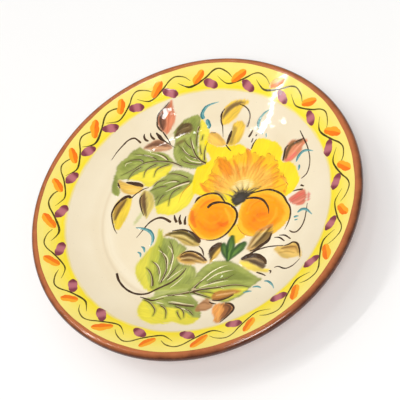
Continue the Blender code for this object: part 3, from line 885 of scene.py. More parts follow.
for streak in ([(12.6, 34, 1.6), (15.9, 28.2, 2.4), (20, 22.4, 1.8), (22.4, 18.5, 0.6)],
               [(22.9, 37, 1.6), (25.9, 30, 2.4), (27.6, 23.5, 1.8), (28.2, 18.8, 0.6)],
               [(19.4, 35.9, 1.2), (22.4, 30, 2.0), (25.3, 24.7, 1.0)],
               [(32, 44.7, 2.4), (34, 39.4, 3.4), (34, 34.7, 3.4), (32.9, 29.4, 2.6),
                (32, 23.5, 1.0)],
               [(30, 30.6, 1.2), (31.2, 25.3, 1.8), (32, 20.6, 0.6)],
               [(42.4, 37, 1.6), (39.4, 32.4, 2.4), (37.6, 27.6, 2.0), (37.4, 24, 0.6)],
               [(44.7, 35.9, 1.6), (41.2, 30.6, 2.2), (40, 25.3, 0.8)],
               [(46.5, 30.6, 1.4), (43.5, 27.6, 2.0), (41.2, 23.5, 0.8)],
               [(54, 30, 1.6), (50, 27, 2.4), (45.3, 23.5, 0.8)],
               [(55.3, 24, 1.4), (50.6, 21.8, 2.2), (45.3, 19.4, 0.8)],
               [(54.7, 20.6, 1.4), (50.6, 18.2, 2.0), (46.5, 15.9, 0.8)],
               [(55.3, 17, 1.2), (51.2, 14, 1.8), (47, 12.4, 0.8)],
               [(5.9, 23.5, 1.4), (11.2, 20.6, 2.2), (15.3, 18.2, 1.8), (19.4, 15.9, 0.6)],
               [(7, 26.5, 1.4), (11.8, 25.3, 2.2), (16.5, 21.8, 0.8)],
               [(57, 20.6, 1.4), (59.4, 18.2, 2.2), (61.2, 14.7, 1.2)],
               [(59.7, 8.8, 1.4), (60.9, 4.7, 0.8)]):
    brushed(streak, ORANGE, DEEP_ORANGE, 0.5, 0.72, tip=PEACH)
HEART_X, HEART_Y = 30, 7.5
FLICKS = 46
for number in range(FLICKS):
    turn = math.radians(172.0 - 3.65 * number + 1.6 * math.sin(3.1 * number))
    start = 12.5 + 2.5 * math.sin(1.7 * number)
    end = 25.5 + 5.5 * math.sin(2.3 * number + 1.0)
    bend = turn + 0.07 * math.sin(1.3 * number)
    flick = [(HEART_X + reach * math.cos(angle), HEART_Y + reach * math.sin(angle), width)
             for reach, angle, width in ((end, bend, 0.5),
                                         ((start + end) / 2, turn, 1.0 + 0.3 * math.sin(number)),
                                         (start, turn, 0.4))]
    brushed(flick, ink(212, 100, 20), ORANGE, 0.35, 0.55 + 0.2 * math.sin(1.9 * number),
            streaks=0.1, tip=PEACH)
wash([(23.5, 15), (27, 19), (32, 20.5), (37, 18), (37, 14.5), (31, 13), (26, 12.4)],
     ink(252, 232, 164), 1.8, 0.85)

# The two round fruits and the gold between them.
wash([(24, -15), (30, -13), (38, -15), (37, -20), (33, -25.5), (27, -28.6), (25, -24),
      (22.5, -20.6)], ink(255, 212, 44), 1.2, 0.97, streaks=0.03)
wash([(-1.8, 6.5), (0.6, 9.4), (4, 11.2), (8.8, 12), (12.9, 11.2), (15.9, 8.8), (18.2, 5.3),
      (22, 2.4), (26.8, -2.4), (28.2, -6.5), (27.6, -11.2), (25.3, -15.9), (21.8, -20.3),
      (17.6, -23.2), (12.9, -24.4), (7.6, -24), (1, -20), (-4, -14.4), (-6.4, -7), (-5, 1)],
     ink(254, 200, 34), 0.6, 0.98, streaks=0.05, pool=0.04)
wash([(-1, 4), (3, 8.6), (9, 10), (14, 8), (18, 3.6), (23.6, 0), (26.6, -6), (25, -13),
      (20, -19.4), (13, -22.4), (6.6, -21.4), (0.6, -17), (-3.4, -10), (-3.6, -2)],
     ink(255, 160, 0), 1.8, 0.98, streaks=0.05, lean=-40, pool=0.0)
wash([(8, -5), (14, -5), (20, -9), (21, -14), (16, -18.6), (9, -18), (5, -13)],
     ink(254, 134, 0), 3.6, 0.7, streaks=0.1, lean=-40, pool=0.0)
wash([(-4, -1), (-1, 0), (0, -5), (-2, -9), (-4.6, -7)], ink(250, 136, 30), 1.6, 0.6)
wash([(33.5, 5.3), (36.5, 8.8), (41.2, 10), (47, 10.9), (51.2, 10.3), (55.9, 7.9), (59.4, 4.7),
      (61.8, 0), (63.8, -3.5), (64.7, -7.6), (64.4, -12.4), (61.6, -16.5), (57, -21),
      (50, -25), (40, -24.4), (34, -21.8), (30.6, -18.2), (29, -12), (29, -5), (30.6, 1)],
     ink(253, 194, 40), 0.6, 0.98, streaks=0.05, pool=0.04)
wash([(34, 3), (38, 6), (46, 7.6), (53, 5), (58, 0), (60.4, -6), (59, -13), (54, -19),
      (47, -22.4), (40, -21.6), (34, -17), (31, -10), (31.4, -3)],
     ink(255, 158, 0), 1.8, 0.98, streaks=0.05, lean=-60, pool=0.0)
wash([(40, -4), (47, -3), (52, -8), (50, -15), (43, -18), (37, -14), (36.4, -8)],
     ink(254, 134, 0), 3.6, 0.65, streaks=0.1, lean=-60, pool=0.0)

# The dark leaf with three lobes below them, and the bud that lies over the right one.
for lobe in ([(24, -39, 3), (22.4, -35, 5.2), (21, -31, 5.4), (20.4, -28.6, 3.4)],
             [(24.8, -39, 3), (28.6, -34.6, 5.6), (32, -31.2, 6.2), (34.4, -29, 4)],
             [(24.4, -39.6, 3), (25, -33, 5.8), (25.6, -27, 5.6), (26, -23.4, 3.4)]):
    brushed(lobe, ink(40, 76, 28), ink(58, 98, 36), 0.45, 0.97, streaks=0.2)
    core = [(x, y, 0.32 * width) for x, y, width in lobe]
    brushed(core, ink(116, 156, 62), None, 0.5, 0.75, tip=ink(58, 98, 36))
wash([(52.6, -15.6), (53.4, -20.6), (52.4, -25.3), (50, -28.8), (45.9, -31.8), (41.2, -34.7),
      (38.2, -34.7), (36.5, -32.9), (37.6, -28.8), (40, -23.5), (43.5, -19.4), (48.2, -17)],
     ink(206, 164, 92), 0.8, 0.94, lean=50)
wash([(51.8, -17), (52.6, -22), (50.4, -27), (45.4, -30.8), (41.6, -31.6), (43.4, -26.4),
      (47, -21.4)], OLIVE, 1.3, 0.9, lean=55)

# The heart of the flower.
wash([(23.2, 5.3), (24, 8.2), (27.6, 11.8), (30.6, 12.9), (32.9, 11.8), (36.5, 11.2),
      (40, 12.4), (43.5, 13.5), (40, 10.8), (37.6, 9), (35.3, 6.5), (32.9, 3.5), (29.4, 1.2),
      (26.5, 0), (24.7, 2.4)], ink(46, 42, 46), 0.6, 0.98, streaks=0.06)
wash([(26, 4), (27.4, 7), (30.4, 8.4), (32, 6.6), (29.6, 3.4)], ink(92, 86, 88), 1.2, 0.4)
brushed([(11.2, 13.5, 0.8), (15.3, 11.2, 1.6), (20, 6, 1.0)], ink(130, 120, 100), None, 0.5, 0.7)
for smudge in ([(26, 10, 2.2), (22.4, 14, 1.6), (18, 17.6, .5)],
               [(28.4, 11.6, 2.2), (26.4, 16, 1.6), (24, 20.6, .5)],
               [(30.4, 12, 2.2), (30.4, 16.6, 1.6), (29.8, 21.6, .5)],
               [(32.6, 11.4, 2.2), (34.4, 15.4, 1.6), (35.8, 20, .5)],
               [(35, 10.6, 2), (39, 13.4, 1.4), (43, 16.4, .4)],
               [(24.4, 7.4, 2), (19.6, 10.4, 1.4), (14.4, 13, .4)]):
    brushed(smudge, ink(122, 110, 92), ink(170, 150, 96), 0.7, 0.55, streaks=0.3, tip=PEACH)

# Rounds of the brush in the fruits, and streaks along the buds.
for arc, colour, strength in (
        ([(-2, -4, 2), (1, 4, 2.6), (8, 7.6, 2.6), (15, 5, 2)], (255, 184, 30), 0.4),
        ([(1, -9, 1.6), (6, -15, 2.4), (13, -17, 2.4), (20, -12, 1.6)], (250, 108, 4), 0.35),
        ([(5, -8, 1.2), (9, -11, 1.8), (15, -10.6, 1.6), (18, -6, 1)], (255, 178, 20), 0.3),
        ([(-4, -1, 2.4), (-3, -8, 3.4), (-0.5, -13, 2)], (238, 98, 20), 0.6),
        ([(15.6, -12, 2.4), (19.6, -13.6, 3), (22.4, -11, 1.6)], (240, 92, 8), 0.55),
        ([(2, 1.6, 1.4), (6, 5.4, 2.4), (11, 6.8, 1.4)], (244, 108, 12), 0.5),
        ([(19.4, -1, 1.4), (23, -7, 2), (23.4, -12, 1.2)], (255, 204, 56), 0.5),
        ([(35.4, -4, 2.4), (38.4, 1.6, 3.2), (44, 3.6, 2)], (242, 104, 16), 0.5),
        ([(40, -12, 2.4), (43, -8.4, 3), (48, -7.4, 2)], (244, 108, 8), 0.45),
        ([(44, -21, 1.6), (52, -20, 2.2), (58, -15, 1.6)], (255, 196, 50), 0.5),
        ([(6, -2, 1.2), (12, 0.4, 1.8), (19, -2, 1.4)], (252, 132, 4), 0.35),
        ([(35, -6, 1.6), (38, 1.4, 2.4), (45, 4.6, 2.4), (52, 2, 1.6)], (255, 188, 36), 0.4),
        ([(37, -14, 1.6), (43, -19, 2.4), (50, -18, 2.4), (56, -12, 1.6)], (250, 110, 4), 0.3),
        ([(40, -8, 1.2), (44, -12, 1.8), (50, -11, 1.4)], (255, 178, 20), 0.3),
        ([(55, -4, 1.6), (54.6, -10, 2), (50, -15, 1.4)], (255, 192, 50), 0.4),
        ([(-21.4, 62.6, 1.2), (-18, 66.6, 2), (-13, 69.6, 1.2)], (78, 52, 32), 0.75),
        ([(-20, 61.4, 1), (-15, 64.4, 1.6), (-10.6, 66.6, 1)], (88, 60, 38), 0.7),
        ([(-16.8, 70.6, 1), (-13, 71, 1.4), (-10, 69.6, .8)], (84, 58, 36), 0.7),
        ([(-20.4, 65, .6), (-15.8, 67.8, .9), (-12, 68.2, .5)], (168, 146, 96), 0.55),
        ([(-25, 86, .8), (-27, 79, 1.4), (-27.4, 72, 1.2), (-28, 66.6, .6)], (206, 100, 60), .6),
        ([(-32.4, 79, 1.4), (-33.4, 74, 1.8), (-31.4, 68, 1)], (74, 50, 38), 0.75),
        ([(-43, 54.8, .8), (-36, 57, 1.5), (-28, 54.8, .8)], (100, 66, 44), 0.7),
        ([(-41, 53.6, .6), (-34, 53.9, 1.1), (-27, 52.6, .6)], (240, 190, 140), 0.6),
        ([(-53.6, 13, 1), (-57.6, 6, 2.2), (-60, -2, 1.2)], (84, 60, 34), 0.7),
        ([(-40.6, 16, 1), (-39.6, 8, 1.8), (-37, -1, .8)], (84, 62, 40), 0.65),
        ([(-37.2, 15, .8), (-35.6, 8, 1.4), (-35.6, 2, .6)], (232, 206, 96), 0.7),
        ([(13.5, 73.5, 1.4), (17.6, 78, 2.2), (22.4, 80.1, 2.2), (28, 81, 1)], (112, 88, 52), .7),
        ([(60, 34, 1), (61.4, 39, 2), (64.6, 43, 2), (71, 44, 1)], (92, 68, 36), 0.75),
        ([(62, 33, .8), (66, 38, 1.2), (71, 41.6, .6)], (246, 176, 140), 0.6),
        ([(60.6, 32, 1.4), (63.4, 33.4, 2.6), (67, 36.4, 1.4)], (244, 104, 104), 0.6),
        ([(65, 0.6, 1.4), (69.4, 3.4, 2.4), (73.4, 4.4, 1.4)], (240, 96, 88), 0.5),
        ([(66, -1.8, 1), (70, -1, 1.6), (74, 0.6, .8)], (246, 160, 140), 0.5),
        ([(-18, -16.6, 1), (-10, -16.6, 1.6), (-3, -20, 1.6), (2, -25, 1)], (72, 60, 26), 0.8),
        ([(-17, -18, .8), (-9, -19.4, 1.1), (-1, -24.4, .6)], (232, 212, 140), 0.75),
        ([(-15, -19.6, .8), (-8, -22.2, 1.2), (-1, -26.4, .8)], (104, 88, 40), 0.7),
        ([(-9, -35, 1), (-2, -34.2, 1.5), (7.6, -39.4, 1)], (82, 58, 30), 0.8),
        ([(-8, -36.4, .8), (-1, -36.4, 1.1), (6.6, -40, .6)], (240, 208, 140), 0.75),
        ([(-8, -38, .8), (-1, -38.6, 1.1), (6, -40.8, .6)], (110, 78, 40), 0.7),
        ([(51, -18.6, 1), (46.6, -25, 1.8), (40, -32, 1)], (88, 66, 34), 0.8),
        ([(49, -19, .8), (44.4, -25, 1.1), (39, -31, .6)], (240, 212, 146), 0.75),
        ([(46, -19.4, .8), (41.6, -25, 1.1), (38, -31, .6)], (112, 84, 44), 0.7),
        ([(36, -40, .8), (42, -40.4, 1.1), (48.4, -44, .6)], (190, 160, 112), 0.7),
        ([(36, -41.2, .6), (41.6, -42.6, .9), (47.4, -46, .5)], (60, 44, 26), 0.8),
        ([(60, -35, 1), (65, -34.6, 1.4), (70, -36, 1), (72, -41, .6)], (132, 92, 40), 0.75),
        ([(58, -38, .8), (64, -38, 1.1), (69, -40, .6)], (180, 130, 60), 0.6),
        ([(12.6, -37, .8), (15.4, -32.6, 1.2), (18.6, -30, .6)], (120, 88, 44), 0.7),
        ([(17, -68, .8), (23, -68, 1.3), (30, -65.6, .8)], (120, 70, 32), 0.75),
        ([(18.6, -65.4, .8), (25, -64.8, 1.2), (31, -64.2, .6)], (244, 196, 132), 0.7),
        ([(26, -73, 1), (29.4, -76, 1.8), (28.4, -81, 1.6), (25, -86, .8)], (88, 52, 32), 0.75),
        ([(22, -74, .8), (22.4, -80, 1.2), (23, -86, .6)], (252, 186, 96), 0.6),
        ([(8, -71, .8), (11, -70, 1.3), (14.4, -71.6, .8)], (134, 86, 50), 0.65),
        ([(7.6, -75, .8), (12, -76, 1.1), (15.4, -74.6, .6)], (150, 100, 60), 0.6)):
    brushed(arc, ink(*colour), None, 0.45, strength, streaks=0.12)

paint = cream_face.data.color_attributes.new("paint", "FLOAT_COLOR", "POINT")
paint.data.foreach_set("color", wet_colour.ravel())


def cream_material():
    """Cream glaze with the colours melted into it: clouds, pinholes and a soft orange peel."""
    material, tree = new_material("cream_glaze", 0.045)
    place = add_node(tree, "TexCoord", {})["Object"]
    cream = mix(tree, noise(tree, place, 26.0, 5.0), ink(232, 215, 180), ink(247, 236, 211))
    wet_paint = add_node(tree, "Attribute", {}, attribute_name="paint")
    cover = spread(tree, noise(tree, place, 420.0, 4.0), 0.25, 0.75, 0.975)
    amount = maths(tree, "MULTIPLY", wet_paint["Alpha"], cover)
    laid = mix(tree, amount, cream, wet_paint["Color"])
    pinholes = spread(tree, specks(tree, place, 210.0), 0.03, 0.07, 0.62)
    pitted = mix(tree, 0.5, laid, pinholes, "MULTIPLY")
    relief = maths(tree, "MULTIPLY_ADD", noise(tree, place, 130.0), 4.0, amount)
    finish_surface(tree, pitted, relief, 0.6, 0.04 * MM)
    return material


settle(cream_face)
cream_face.data.materials.append(cream_material())
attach(cream_face, "root")
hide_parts("face_glaze")


# ---------------------------------------------------------------------------------------------
# The yellow border.
# A thick antimony yellow, laid over the cream on the flange with a full brush while the plate
# turned on the wheel: it is deepest at its inner edge and thins out towards the lip.

BORDER_INNER = 91.9 * MM
BORDER_OUTER = 110.5 * MM
BORDER_COAT = 0.05 * MM
RIM_STEPS = 720


def wobble(angle, seed):
    """How far a hand-drawn ring wanders, from -1 to 1."""
    return (0.4 * np.sin(3.0 * angle + seed) + 0.3 * np.sin(8.0 * angle + 2.0 * seed)
            + 0.2 * np.sin(19.0 * angle + 5.0 * seed) + 0.1 * np.sin(41.0 * angle + 3.0 * seed))


def waver(piece, edge, reach, amount, seed):
    """Let the edge of a turned coat wander along the flange, less and less away from it."""
    place = points_of(piece.data)
    radius = np.hypot(place[:, 0], place[:, 1])
    share = np.clip(1.0 - np.abs(radius - edge) / reach, 0.0, 1.0)
    shift = amount * wobble(np.arctan2(place[:, 1], place[:, 0]), seed) * share
    place[:, :2] *= (1.0 + shift / radius)[:, None]
    place[:, 2] += shift * math.tan(FLANGE_SLOPE)
    move_points(piece.data, place)


def plate_place(tree):
    """The place on the plate, the same laid flat, its height, and its distance from the middle."""
    place = add_node(tree, "TexCoord", {})["Object"]
    parts = add_node(tree, "SeparateXYZ", {"Vector": place})
    flat = add_node(tree, "CombineXYZ", {"X": parts["X"], "Y": parts["Y"]})["Vector"]
    radius = add_node(tree, "VectorMath", {0: flat}, operation="LENGTH")["Value"]
    return place, flat, parts["Z"], radius


def yellow_material():
    """Yellow brushed round and round: pale streaks, a thin outer side and a soft inner edge."""
    material, tree = new_material("yellow_glaze", 0.06)
    place, flat, _, radius = plate_place(tree)
    around = add_node(tree, "VectorMath", {0: flat}, operation="NORMALIZE")["Vector"]
    ring = add_node(tree, "VectorMath", {0: around, "Scale": 9.0}, operation="SCALE")["Vector"]
    rise = add_node(tree, "CombineXYZ", {"Z": maths(tree, "MULTIPLY", radius, 1500.0)})["Vector"]
    drawn_out = add_node(tree, "VectorMath", {0: ring, 1: rise}, operation="ADD")["Vector"]
    streaks = noise(tree, drawn_out, 1.0, 3.0)
    across = spread(tree, radius, BORDER_INNER + 1.0 * MM, BORDER_OUTER - 3.0 * MM)
    uneven = maths(tree, "MULTIPLY_ADD", streaks, 0.55, -0.27)
    thin = maths(tree, "ADD", across, uneven, clamp=True)
    tone = mix(tree, thin, ink(255, 230, 22), ink(254, 236, 128))
    edge = maths(tree, "MULTIPLY_ADD", streaks, 2.4 * MM, radius)
    cover = spread(tree, edge, BORDER_INNER + 0.9 * MM, BORDER_INNER + 3.8 * MM,
                   curve="SMOOTHSTEP")
    covered = mix(tree, cover, ink(240, 226, 194), tone)
    patches = spread(tree, noise(tree, place, 60.0, 4.0), 0.3, 0.7, 0.93)
    cloudy = mix(tree, 1.0, covered, patches, "MULTIPLY")
    finish_surface(tree, cloudy, streaks, 0.3, 0.2 * MM)
    return material


border_top = face_section(BORDER_INNER + 1.2 * MM, BORDER_OUTER, -BORDER_COAT, 18)
border_edge = face_section(BORDER_INNER, BORDER_INNER, 0.01 * MM, 1)
border_under = face_section(BORDER_OUTER, BORDER_INNER + 1.2 * MM, 0.14 * MM, 3)
border = turned("yellow_border", border_edge + border_top + border_under, True, steps=RIM_STEPS)
waver(border, BORDER_INNER, 4.0 * MM, 0.3 * MM, 1.7)
settle(border)
border.data.materials.append(yellow_material())
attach(border, "root")
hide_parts("border_glaze")


# ---------------------------------------------------------------------------------------------
# The brown lip.
# An iron glaze wiped on with a sponge over the rolled lip; its inner edge wanders over the
# yellow.  It runs from dark brown on the outer side of the roll, painted shade, to orange on the
# crest, partly the glaze breaking thin and partly painted light.

LIP_COAT_START = 109.9 * MM
CREST_LEAN = 1.2


def lip_material():
    """Brown glaze, cloudy: painted shade darkens the outer side of the roll, and painted light
    with the glaze's thin break makes its inner side orange.
    """
    material, tree = new_material("brown_glaze", 0.13)
    place, _, height, radius = plate_place(tree)
    # Painted light and shade: orange on the inner side of the roll, dark brown on its outer side,
    # by height against radius; the orange is partly the glaze breaking thin.
    inward = maths(tree, "MULTIPLY_ADD", radius, -CREST_LEAN, height)
    crest_level = LIP_CENTRE_HEIGHT - CREST_LEAN * LIP_CENTRE_RADIUS
    crest_light_and_shade = spread(tree, inward, crest_level - 1.6 * MM, crest_level + 3.5 * MM)
    clouds = noise(tree, place, 95.0, 6.0, 0.65)
    uneven = maths(tree, "MULTIPLY_ADD", clouds, 1.2, -0.62)
    level = maths(tree, "ADD", crest_light_and_shade, uneven, clamp=True)
    tone = mix(tree, level, ink(76, 35, 17), ink(188, 108, 62))
    finish_surface(tree, tone, clouds, 0.3, 0.3 * MM)
    return material


lip_coat = face_section(LIP_COAT_START, LIP_COAT_START, 0.0, 1)
lip_coat += face_section(LIP_COAT_START + 0.4 * MM, FLANGE_END_RADIUS, -0.12 * MM, 3)
lip_coat += lip_section(0.0, 26)[1:]
lip_foot = lip_section(0.0, 2)[-1][1]
lip_coat.append(back_point(lip_foot - 1.6 * MM, 0.06 * MM))
lip_coat.append(back_point(lip_foot - 1.8 * MM, 0.4 * MM))
lip_coat += lip_section(0.55 * MM, 10)[::-1]
lip_coat += face_section(LIP_COAT_START, LIP_COAT_START, 0.3 * MM, 1)
lip = turned("brown_lip", lip_coat, True, steps=RIM_STEPS)
waver(lip, LIP_COAT_START, 2.0 * MM, 0.5 * MM, 4.3)
settle(lip)
lip.data.materials.append(lip_material())
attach(lip, "root")
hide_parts("lip_glaze")


# ---------------------------------------------------------------------------------------------
# The vine round the border.
# A thin olive-black line, brushed in short waves that overlap, one for each pair of buds.  Slip
# this thick stays up on the glaze, so every stroke is a low crowned pad of its own.

VINE_STARTS = (8, 24, 41, 58, 75, 92, 110, 126, 140, 154, 168, 184, 202, 221, 240, 259, 278, 296,
               315, 333, 350)
ROW_LENGTH = 0.55
FEWEST_ROWS, MOST_ROWS = 9, 64
LOOK_AHEAD = 0.15
EDGE_SINK = 0.02 * MM
PAD_DEPTH = 0.07 * MM
PAD_SMOOTH_ANGLE = math.radians(50.0)


def on_face(x, y, lift):
    """A place on the fired face, x, y in millimetres, raised along the face's own normal."""
    radius = np.maximum(np.hypot(x, y), 1e-6) * MM
    tilt = face_tilt(radius)
    scale = MM - lift * np.sin(tilt) * MM / radius
    return np.column_stack((x * scale, y * scale, face_height(radius) + lift * np.cos(tilt)))


def laid_stroke(points, lift, crown, number, weight):
    """One stroke as a thin pad: x, y and width in millimetres along its line, round at its ends.
    weight is how hard the brush was pressed.  Its edges sink into the coat below, and it carries
    the brush's way as an attribute."""
    line = smooth_line(points)
    steps = np.hypot(*np.diff(line[:, :2], axis=0).T)
    way = np.concatenate(([0.0], np.cumsum(steps)))
    long, widest = way[-1], line[:, 2].max()
    rows = int(np.clip(long / ROW_LENGTH, FEWEST_ROWS, MOST_ROWS))
    across = 6 if widest < 1.2 else 8 if widest < 3.0 else 12
    bpy.ops.mesh.primitive_grid_add(x_subdivisions=rows, y_subdivisions=across, size=2.0)
    pad = bpy.context.object
    place = points_of(pad.data)
    share, side = place[:, 0] / 2 + 0.5, place[:, 1]
    share = 0.35 * share + 0.65 * (0.5 - 0.5 * np.cos(np.pi * share))
    along = share * long
    x, y, width = (np.interp(along, way, line[:, column]) for column in range(3))
    ahead = np.minimum(along + LOOK_AHEAD, long)
    behind = np.maximum(along - LOOK_AHEAD, 0.0)
    turn_x = np.interp(ahead, way, line[:, 0]) - np.interp(behind, way, line[:, 0])
    turn_y = np.interp(ahead, way, line[:, 1]) - np.interp(behind, way, line[:, 1])
    size = np.maximum(np.hypot(turn_x, turn_y), 1e-9)
    cap = np.maximum(np.minimum(width / 2, 0.3 * long), 0.01)
    end = np.clip(np.minimum(along, long - along) / cap, 0.0, 1.0)
    round_off = np.sqrt(np.maximum(1.0 - (1.0 - end) ** 2, 0.0))
    wander = 1.0 + 0.07 * np.sin(0.9 * along + number) + 0.03 * np.sin(2.1 * along + 2.0 * number)
    half = np.maximum(width * weight / 2 * round_off * wander, 0.004)
    x = x - turn_y / size * side * half
    y = y + turn_x / size * side * half
    swell = np.sqrt(np.maximum(1.0 - side ** 2, 0.0)) * np.minimum(1.0, round_off * 1.2)
    height = lift + crown * swell * np.minimum(1.0, 0.45 + width / 2.5) - EDGE_SINK
    move_points(pad.data, on_face(x, y, height))
    brush = pad.data.attributes.new("brush", "FLOAT_VECTOR", "POINT")
    way_of_brush = np.column_stack((along + 17.0 * number, side * half, share))
    brush.data.foreach_set("vector", way_of_brush.ravel())
    return pad


def painted(name, strokes, material, lift=0.0, crown=0.055 * MM, weight=1.0):
    """A group of strokes of one colour, joined to one piece and given a little thickness."""
    pads = []
    for number, points in enumerate(strokes):
        select_none()
        pads.append(laid_stroke(points, lift, crown, number, weight))
    select_none()
    for pad in pads:
        pad.select_set(True)
    bpy.context.view_layer.objects.active = pads[0]
    bpy.ops.object.join()
    piece = bpy.context.object
    piece.name = piece.data.name = name
    body = piece.modifiers.new("body", "SOLIDIFY")
    body.thickness = PAD_DEPTH
    body.offset = -1.0
    bpy.ops.object.modifier_apply(modifier="body")
    bpy.ops.object.shade_smooth_by_angle(angle=PAD_SMOOTH_ANGLE)
    settle(piece)
    piece.data.materials.append(material)
    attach(piece, "root")
    return piece


def brush_material(name, full, thin, dryness=0.5, fade=0.4, blush=None, beside=None):
    """Brushed colour: streaks run the way of the stroke, and it thins as the brush runs dry.
    beside is a second colour along one side of the stroke, and blush a paler one in its middle."""
    material, tree = new_material(name, 0.08)
    brush = add_node(tree, "Attribute", {}, attribute_name="brush")["Vector"]
    stretch = add_node(tree, "VectorMath", {0: brush, 1: (0.3, 2.4, 0.0)}, operation="MULTIPLY")
    streaks = noise(tree, stretch["Vector"], 1.0, 3.0)
    parts = add_node(tree, "SeparateXYZ", {"Vector": brush})
    dry = spread(tree, streaks, 0.42, 0.68, 0.0, dryness)
    spent = spread(tree, parts["Z"], 0.35, 1.0, 0.0, fade)
    tone = mix(tree, maths(tree, "ADD", dry, spent, clamp=True), full, thin)
    if beside:
        flank = spread(tree, parts["Y"], 0.08, 0.34, 0.0, 0.85, "SMOOTHSTEP")
        tone = mix(tree, flank, tone, beside)
    if blush:
        away = maths(tree, "ABSOLUTE", maths(tree, "SUBTRACT", parts["Z"], 0.52))
        middle = spread(tree, away, 0.32, 0.08, curve="SMOOTHSTEP")
        tone = mix(tree, middle, tone, blush)
    finish_surface(tree, tone, streaks, 0.25, 0.12 * MM)
    return material


def round_border(start, points):
    """Turn places given by degrees from a bud and by radius into x and y, with their widths."""
    placed = []
    for turn, radius, width in points:
        angle = math.radians(start + turn)
        placed.append((radius * math.cos(angle), radius * math.sin(angle), width))
    return placed


def drift(number, amount):
    """A small change that makes each copy of a hand-made mark a little different."""
    return amount * math.sin(2.4 * number + 0.9 * math.sin(5.7 * number))


vine = []
for number, start in enumerate(VINE_STARTS):
    sway = drift(number, 0.5)
    swell = 1.0 + drift(number + 3, 0.18)
    vine.append(round_border(start, [(9.2, 101.6 + sway, 0.25), (6.8, 98.4, 0.6 * swell),
                                     (4.5, 96.7, 0.95 * swell), (1.5, 97.6, 1.05 * swell),
                                     (-3.0, 101.2, 0.95), (-6.0, 104.9 - sway, 0.85 * swell),
                                     (-8.7, 106.1 - sway, 0.8), (-12.0, 104.0, 0.7 * swell),
                                     (-14.4, 100.6, 0.3)]))
ink_line = brush_material("olive_black", ink(56, 48, 14), ink(128, 108, 30), 0.5, 0.35)
painted("border_vine", vine, ink_line, BORDER_COAT, 0.045 * MM, 1.45)


# ---------------------------------------------------------------------------------------------
# The buds and petals round the border.
# Outside the vine lie orange buds, and inside it manganese petals.  Each is one or two presses
# of a round brush, light in the middle where the hairs spread and dark where they lifted off.

buds, petals = [], []
for number, start in enumerate(VINE_STARTS):
    low = 1.4 if 70 < start < 115 else 0.0
    slant = drift(number, 0.5)
    buds.append(round_border(start, [(2.7 + slant, 99.3 - low, 3.4), (1.4, 101.4 - low, 5.6),
                                     (-0.3, 104.0 - low, 6.2 + slant),
                                     (-1.7 - slant, 106.2 - low, 5.0),
                                     (-2.5 - slant, 107.5 - low, 2.4)]))
    petals.append(round_border(start, [(-1.8, 99.3 + slant, 2.2), (-3.1, 98.2, 5.5),
                                       (-5.0, 96.7 - slant, 6.4), (-6.9, 95.4 - slant, 5.3),
                                       (-8.2, 94.5 - slant, 2.4)]))
bud_orange = brush_material("bud_orange", ink(251, 134, 14), ink(248, 112, 24), 0.9, 0.5,
                            beside=ink(254, 176, 40))
painted("border_buds", buds, bud_orange, BORDER_COAT, 0.06 * MM)
manganese = brush_material("petal_purple", ink(142, 68, 84), ink(112, 44, 54), 0.8, 0.3,
                           ink(190, 112, 122))
painted("border_petals", petals, manganese, BORDER_COAT, 0.06 * MM)


# ---------------------------------------------------------------------------------------------
# The dark stems and tendrils.
# Manganese brown, drawn with the tip of a long liner: each tendril swells where the brush was
# pressed and runs out to a hair, and short ticks stand along it like thorns.

